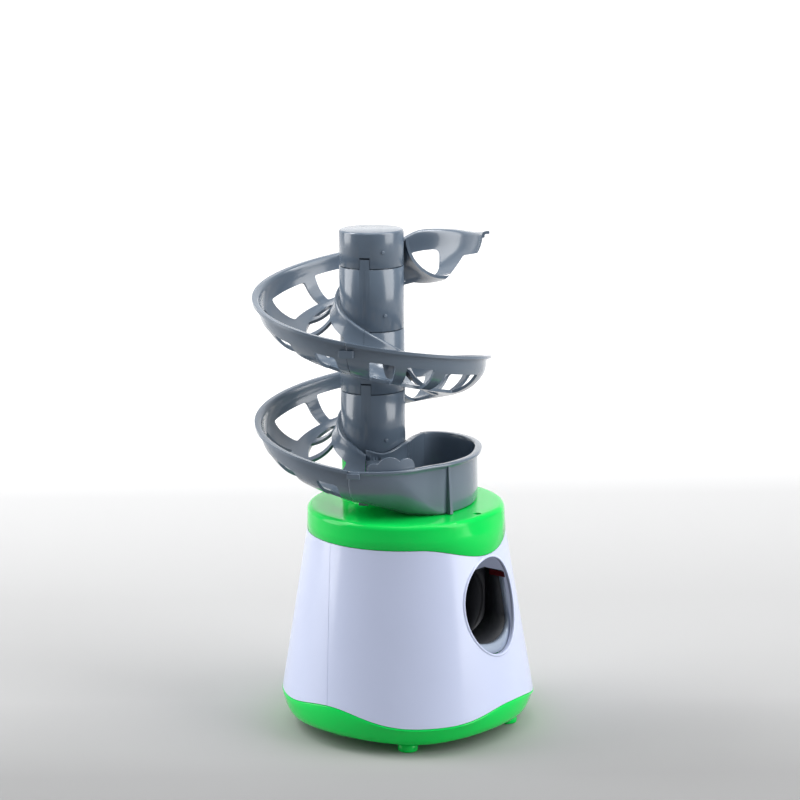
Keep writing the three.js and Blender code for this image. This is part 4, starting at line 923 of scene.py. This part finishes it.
guard_low, guard_shoulder, guard_gap, guard_wall = 162, 168.4, 0.9, 1.2
guard_turn, guard_length, guard_steps = 9.5, 25.5, 90
guard_points = []
for i in range(guard_steps + 1):
    share = i / guard_steps
    turn = guard_turn + guard_length * share
    outside, _, bottom, corner, depth = bin_sizes(turn)
    bend, drop = corner - hopper_wall, depth - hopper_wall
    below = max(0, bottom + depth - guard_low) / drop
    face = outside - corner + bend * math.sqrt(max(0, 1 - below * below)) - guard_gap
    back, high = face - guard_wall, guard_top(share)
    for radius, level in ((face, guard_low), (face, high), (back, high), (back, guard_low)):
        guard_points.append(polar(radius, turn, level))
guard = outward(piece("guard_plate", guard_points, tube_faces(guard_steps + 1, 4), grey, 0))
soften(guard, 0.25, 2, angle=50)
fit_on_tower((guard,), "hopper", "hopper_guard")


# Track modules: three alike blue-grey mouldings, each half a turn of open trough on a length of
# column. The trough is laid out straight with its windows left out, softened, wound by a node tree
# on the column's helix at 38 mm per half turn, and then given its wall.
half_pitch, seam_rise, tower_base = 38.0, 0.8, 165.2
trough_centre, trough_half, trough_deep, trough_rise = 45.0, 23.1, 20.9, 2.5
outer_windows = ((11, 24), (30, 45), (52, 82), (96, 128), (133, 147), (162, 174))
inner_windows = ((24, 45), (52, 76), (84, 108), (114, 152))
trough_bends = (8, 13.5, 19, 24.5, 38, 52, 66, 71.5, 77, 83, 90)
trough_bends += (97, 103, 108.5, 120, 132, 144.5, 150, 156, 165, 174)
before_smoothing, low_rise = 1.008, 1.5


def lip_level(turn):
    return half_pitch * (1 - turn / 180) + seam_rise


def trough_line(rise, sink=0):
    """The middle of the wall from the lip over the bottom to the column: (bend, radius, level)."""
    line = [(-8, 72.15, rise - 0.85), (-6, 70.9, rise - 0.85)]
    line += [(-4, 69.3, rise - 0.9), (-2, 68.35, rise - 1.75)]
    if rise > low_rise:
        line.append((0, 68.25, (rise - 4.6) / 2))
    across, down = trough_half * before_smoothing, trough_deep * before_smoothing + sink
    for bend in trough_bends:
        turn = math.radians(bend)
        line.append((bend, trough_centre + across * math.cos(turn), -down * math.sin(turn)))
    line += [(180, 21.75, -0.4), (184, 21.3, -0.1), (188, 20.5, -0.15)]
    return line + [(192, 19.7, -0.4), (196, 18.5, -0.7)]


def trough_panel(name, start, end, outer=(), inner=(), rise=None, sink=None, ledge_start=0):
    """The trough between two turns, laid out straight, without the faces of its windows."""
    rise = rise or (lambda turn: trough_rise)
    sink = sink or (lambda turn: 0)
    marks = {start + 0.2, end - 0.2}
    for low, high in outer + inner:
        marks |= {low - 2, low, low + 2, high - 2, high, high + 2}
    marks = sorted(m for m in marks if start <= m <= end)
    turns = marks[:1]
    for mark in marks[1:]:
        first = turns[-1]
        if mark - first < 0.9:
            continue
        gap = math.ceil((mark - first) / 6)
        turns += [first + (mark - first) * k / gap for k in range(1, gap)] + [mark]
    highest = max(rise(t) for t in turns)
    columns = []
    for turn in turns:
        line = trough_line(rise(turn), sink(turn))
        if highest > low_rise >= rise(turn):
            line.insert(4, (0, 68.3, -2.3))
        columns.append(line)
    rows = len(columns[0])
    points = [(turn, -r, level) for turn, line in zip(turns, columns) for _, r, level in line]
    faces = []
    for i in range(len(turns) - 1):
        middle = (turns[i] + turns[i + 1]) / 2
        for j in range(rows - 1):
            bend = (columns[i][j][0] + columns[i][j + 1][0]) / 2
            if (19 if middle < 50 else 24.5) < bend < 77 and any(a < middle < b for a, b in outer):
                continue
            if 103 < bend < 150 and any(a < middle < b for a, b in inner):
                continue
            if bend > 180 and middle < ledge_start:
                continue
            here, there = i * rows + j, (i + 1) * rows + j
            faces.append((here, there, there + 1, here + 1))
    panel = piece(name, points, faces, grey, 0)
    shape = bmesh.new()
    shape.from_mesh(panel.data)
    bmesh.ops.delete(shape, geom=[v for v in shape.verts if not v.link_faces], context="VERTS")
    shape.to_mesh(panel.data)
    shape.free()
    return panel


def winding_tree(material):
    """Wind a straight panel, whose X holds the turn and -Y the radius, on a helix."""
    tree, start, end = shape_tree("helix_winding", "Geometry")
    pitch = numbers(tree, "Rise per half turn", half_pitch * mm)
    lift = numbers(tree, "Seam rise", seam_rise * mm)
    add, link = tree.nodes.new, tree.links.new

    def sum_of(operation, first, second=None):
        node = add("ShaderNodeMath")
        node.operation = operation
        for socket, value in zip(node.inputs, (first, second)):
            if isinstance(value, (int, float)):
                socket.default_value = value
            elif value is not None:
                link(value, socket)
        return node.outputs[0]

    where, split = add("GeometryNodeInputPosition"), add("ShaderNodeSeparateXYZ")
    link(where.outputs[0], split.inputs[0])
    turn = sum_of("MULTIPLY", split.outputs["X"], math.radians(1) / mm)
    radius = sum_of("MULTIPLY", split.outputs["Y"], -1)
    share = sum_of("SUBTRACT", 1, sum_of("DIVIDE", turn, math.pi))
    climb = sum_of("MULTIPLY", share, start.outputs["Rise per half turn"])
    climb = sum_of("ADD", climb, start.outputs["Seam rise"])
    join = add("ShaderNodeCombineXYZ")
    link(sum_of("MULTIPLY", radius, sum_of("COSINE", turn)), join.inputs["X"])
    link(sum_of("MULTIPLY", radius, sum_of("SINE", turn)), join.inputs["Y"])
    link(sum_of("ADD", split.outputs["Z"], climb), join.inputs["Z"])
    move = add("GeometryNodeSetPosition")
    wire(tree, (start, "Geometry", move, "Geometry"), (join, 0, move, "Position"))
    paint_and_end(tree, move, "Geometry", material, end)
    return tree, pitch, lift


winding, winding_pitch, winding_lift = winding_tree(grey)


def wound(panel):
    smooth = panel.modifiers.new("soft_windows", "SUBSURF")
    smooth.levels = smooth.render_levels = 2
    smooth.boundary_smooth = "PRESERVE_CORNERS"
    wind = panel.modifiers.new("wind", "NODES")
    wind.node_group = winding
    wind[winding_pitch] = half_pitch * mm
    wind[winding_lift] = seam_rise * mm
    settle(panel)
    outward(panel)
    wall = panel.modifiers.new("wall", "SOLIDIFY")
    wall.thickness = 1.8 * mm
    wall.offset = 0
    settle(panel)
    return outward(panel)


key_half, key_height, column_bore, column_end = 3.0, 6.2, 17.3, 19.3


def key_notch(name):
    return wedge(name, 15, 22, -1, key_height + 0.3, 0, key_half + 0.65, grey)


def column_length(name, height):
    profile = [(column_bore, 0), (column_end, 0), (column_radius, 0.2)]
    profile += [(column_radius, height - 0.2), (column_end, height), (17.0, height)]
    profile += [(17.0, height + 4.6), (16.6, height + 5), (15.6, height + 5)]
    profile += [(15.6, height - 2.6), (column_bore, height - 4.2)]
    tube = turned(name, profile, grey, back=0, segments=144, closed=True)
    key = wedge("key", 16.2, column_radius, height - 3, height + key_height, 180, key_half, grey)
    notch = key_notch("notch")
    cut(tube, key, how="UNION")
    cut(tube, notch)
    return soften(tube, 0.18, 2, angle=50)


def nub_cap(name, azimuth):
    start, end = (column_radius - 1, 0, 9.6), (column_radius + 0.7, 0, 9.6)
    knob = rod(name, 1.1, start, end, grey, 0, segments=32)
    knob.data.transform(Matrix.Rotation(math.radians(azimuth), 4, "Z"))
    return soften(knob, 0.35, 3)


for number in (1, 2, 3):
    body = f"track_module_{number}"
    level, azimuth = tower_base + half_pitch * (number - 1), seam_azimuth + 180 * number
    track = f"track_{number}"
    trough = wound(trough_panel(f"{track}_trough", 0, 180, outer_windows, inner_windows))
    parts = [
        soften(trough, 0.3, 2, angle=55),
        column_length(f"{track}_column", half_pitch - 0.6),
        nub_cap(f"{track}_nub_front", 36),
        nub_cap(f"{track}_nub_back", 216),
        soften(wedge(f"{track}_clip", 69.5, 71.3, 31.8, 36.4, 0, 4.3, grey), 0.4),
        soften(wedge(f"{track}_clip_root", 67.4, 70.6, 31.8, 36.4, 2.9, 1.2, grey), 0.3),
    ]
    fit_on_tower(parts, body, body, level, azimuth)


# Top chute: the last piece of the spiral, on a closed cap that tops the column. Its rim rises
# level above the helix and its wall is cut back underneath towards the open end.
chute_start, cap_height = 111, 21.5


def chute_rise(turn):
    ramp = min(1, (180 - turn) / 15)
    rim = 15.6 - 1.9 * ease((turn - chute_start) / 30) - 1.6 * ease((turn - 145) / 25)
    return max(trough_rise, (rim - lip_level(turn)) * math.sin(math.pi / 2 * ramp))


def chute_sink(turn):
    return 3.8 * ease((180 - turn) / 20)


def slanting_cutter(name, outline, middle, near, far, fall=-0.153, lean=0.015):
    """An outline of (across, level) pushed back between two depths, sinking a little as it goes."""
    across, away = (Vector(polar(1, azimuth, 0)) for azimuth in (102, 192))
    points = []
    for depth in (near, far):
        for x, z in outline:
            moved = across * (x + lean * (depth - middle)) + away * depth
            points.append((moved.x, moved.y, z + fall * (depth - middle)))
    return outward(piece(name, points, tube_faces(2, len(outline)), grey, 0))


chute_panel = trough_panel(
    "chute_trough", chute_start, 180, rise=chute_rise, sink=chute_sink, ledge_start=118
)
chute = wound(chute_panel)
end_outline = [(67.3, 10.9), (66.9, 8.6), (66.1, 5.7), (64.9, 2.9), (64.1, 1.6), (62.4, 1.3)]
end_outline += [(59.1, 0.8), (56.7, 0.5), (55.4, -0.4), (54.2, -2.4), (51.7, -6.1), (49.2, -9.4)]
end_outline += [(47.7, -11.4), (40, -19), (40, -45), (90, -45), (90, 10.9)]
eye_outline = [(22.8, -3.1), (23.5, -1.4), (25.6, -0.4), (30.6, 0.6), (37.3, 1.3), (39.5, 1.0)]
eye_outline += [(40.8, -0.1), (41.4, -2.4), (41.4, -6.6), (41.1, -10.4), (40.1, -12.9)]
eye_outline += [(38.4, -14.8), (35.9, -15.6), (33.0, -15.2), (30.1, -13.4), (27.2, -10.7)]
eye_outline += [(24.5, -7.1), (23.1, -4.8)]
side_outline = [(15.6, -3.1), (18.8, -7.6), (21.5, -10.8), (24.7, -13.9), (27.6, -16.3)]
side_outline += [(25.4, -17.4), (18.8, -18.9), (15.6, -19.7)]
under_outline = [(60, -12), (48.9, -13.8), (41.1, -16.2), (35.8, -17.4), (29.3, -18.4)]
under_outline += [(18.2, -21), (15.6, -21.6), (15.6, -45), (60, -45)]
cut(chute, slanting_cutter("end_cutter", end_outline, 30, -40, 80))
for outline in (eye_outline, side_outline, under_outline):
    cut(chute, slanting_cutter("side_cutter", outline, 50, 24, 80))
cap_profile = [(column_bore, 0), (column_end, 0)]
cap_profile += beside_column((0, 0.2), (0, cap_height - 1.4), (-0.15, cap_height - 0.75))
cap_profile += beside_column((-0.6, cap_height - 0.25), (-1.4, cap_height))
cap_profile += [(0.4, cap_height), (0.4, cap_height - 2), (column_bore, cap_height - 2)]
chute_cap = turned("chute_cap", cap_profile, grey, back=0, segments=144, closed=True)
cap_middle = rod("cap_middle", 1, (0, 0, cap_height - 2), (0, 0, cap_height), grey, 0)
cut(chute_cap, cap_middle, how="UNION")
cut(chute_cap, key_notch("cap_notch"))
soften(chute, 0.3, 2, angle=55)
soften(chute_cap, 0.18, 2, angle=55)
chute_parts = (chute, chute_cap, nub_cap("chute_nub", 33))
fit_on_tower(chute_parts, "top_chute", "top_chute", tower_base + 3 * half_pitch)


# Works inside: the kicker, gears, motor, plates, axles, spring, cells and contacts keep the shapes
# of the model. They get their materials, and most of them slightly rounded edges.
def finish_node(name, material, edge=0.0):
    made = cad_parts[name]
    for place in made.material_slots:
        place.material = material
    made.data.polygons.foreach_set("use_smooth", [edge > 0] * len(made.data.polygons))
    if edge:
        soften(made, edge, 2, angle=40)


ivory = gloss_plastic("ivory_plastic", (0.72, 0.69, 0.6), roughness=0.4, coat=0.0)
steel = gloss_plastic("bright_steel", (0.52, 0.52, 0.54), 0.24, coat=0.0, waviness=0.02)
dial(steel.node_tree.nodes["Principled BSDF"], {"Metallic": 1.0})
jacket = gloss_plastic("cell_jacket", (0.03, 0.08, 0.24), roughness=0.3)
finish_node("kicker", red, 0.25)
finish_node("drive_wheel", ivory)
finish_node("idler_gear", ivory)
for name in ("motor_pinion", "motor_can", "kicker_spring"):
    finish_node(name, steel)
for name in ("kicker_axle", "drive_axle", "idler_axle"):
    finish_node(name, steel)
for side in ("left", "right"):
    finish_node(f"gear_plate_{side}", black, 0.2)
    for row in (1, 2):
        finish_node(f"contact_{side}_{row}", steel, 0.08)
for number in (1, 2, 3, 4):
    finish_node(f"cell_{number}", jacket, 0.4)
    finish_node(f"screw_{number}", steel, 0.2)
finish_node("battery_door", green, 0.3)
finish_node("switch_body", black, 0.3)
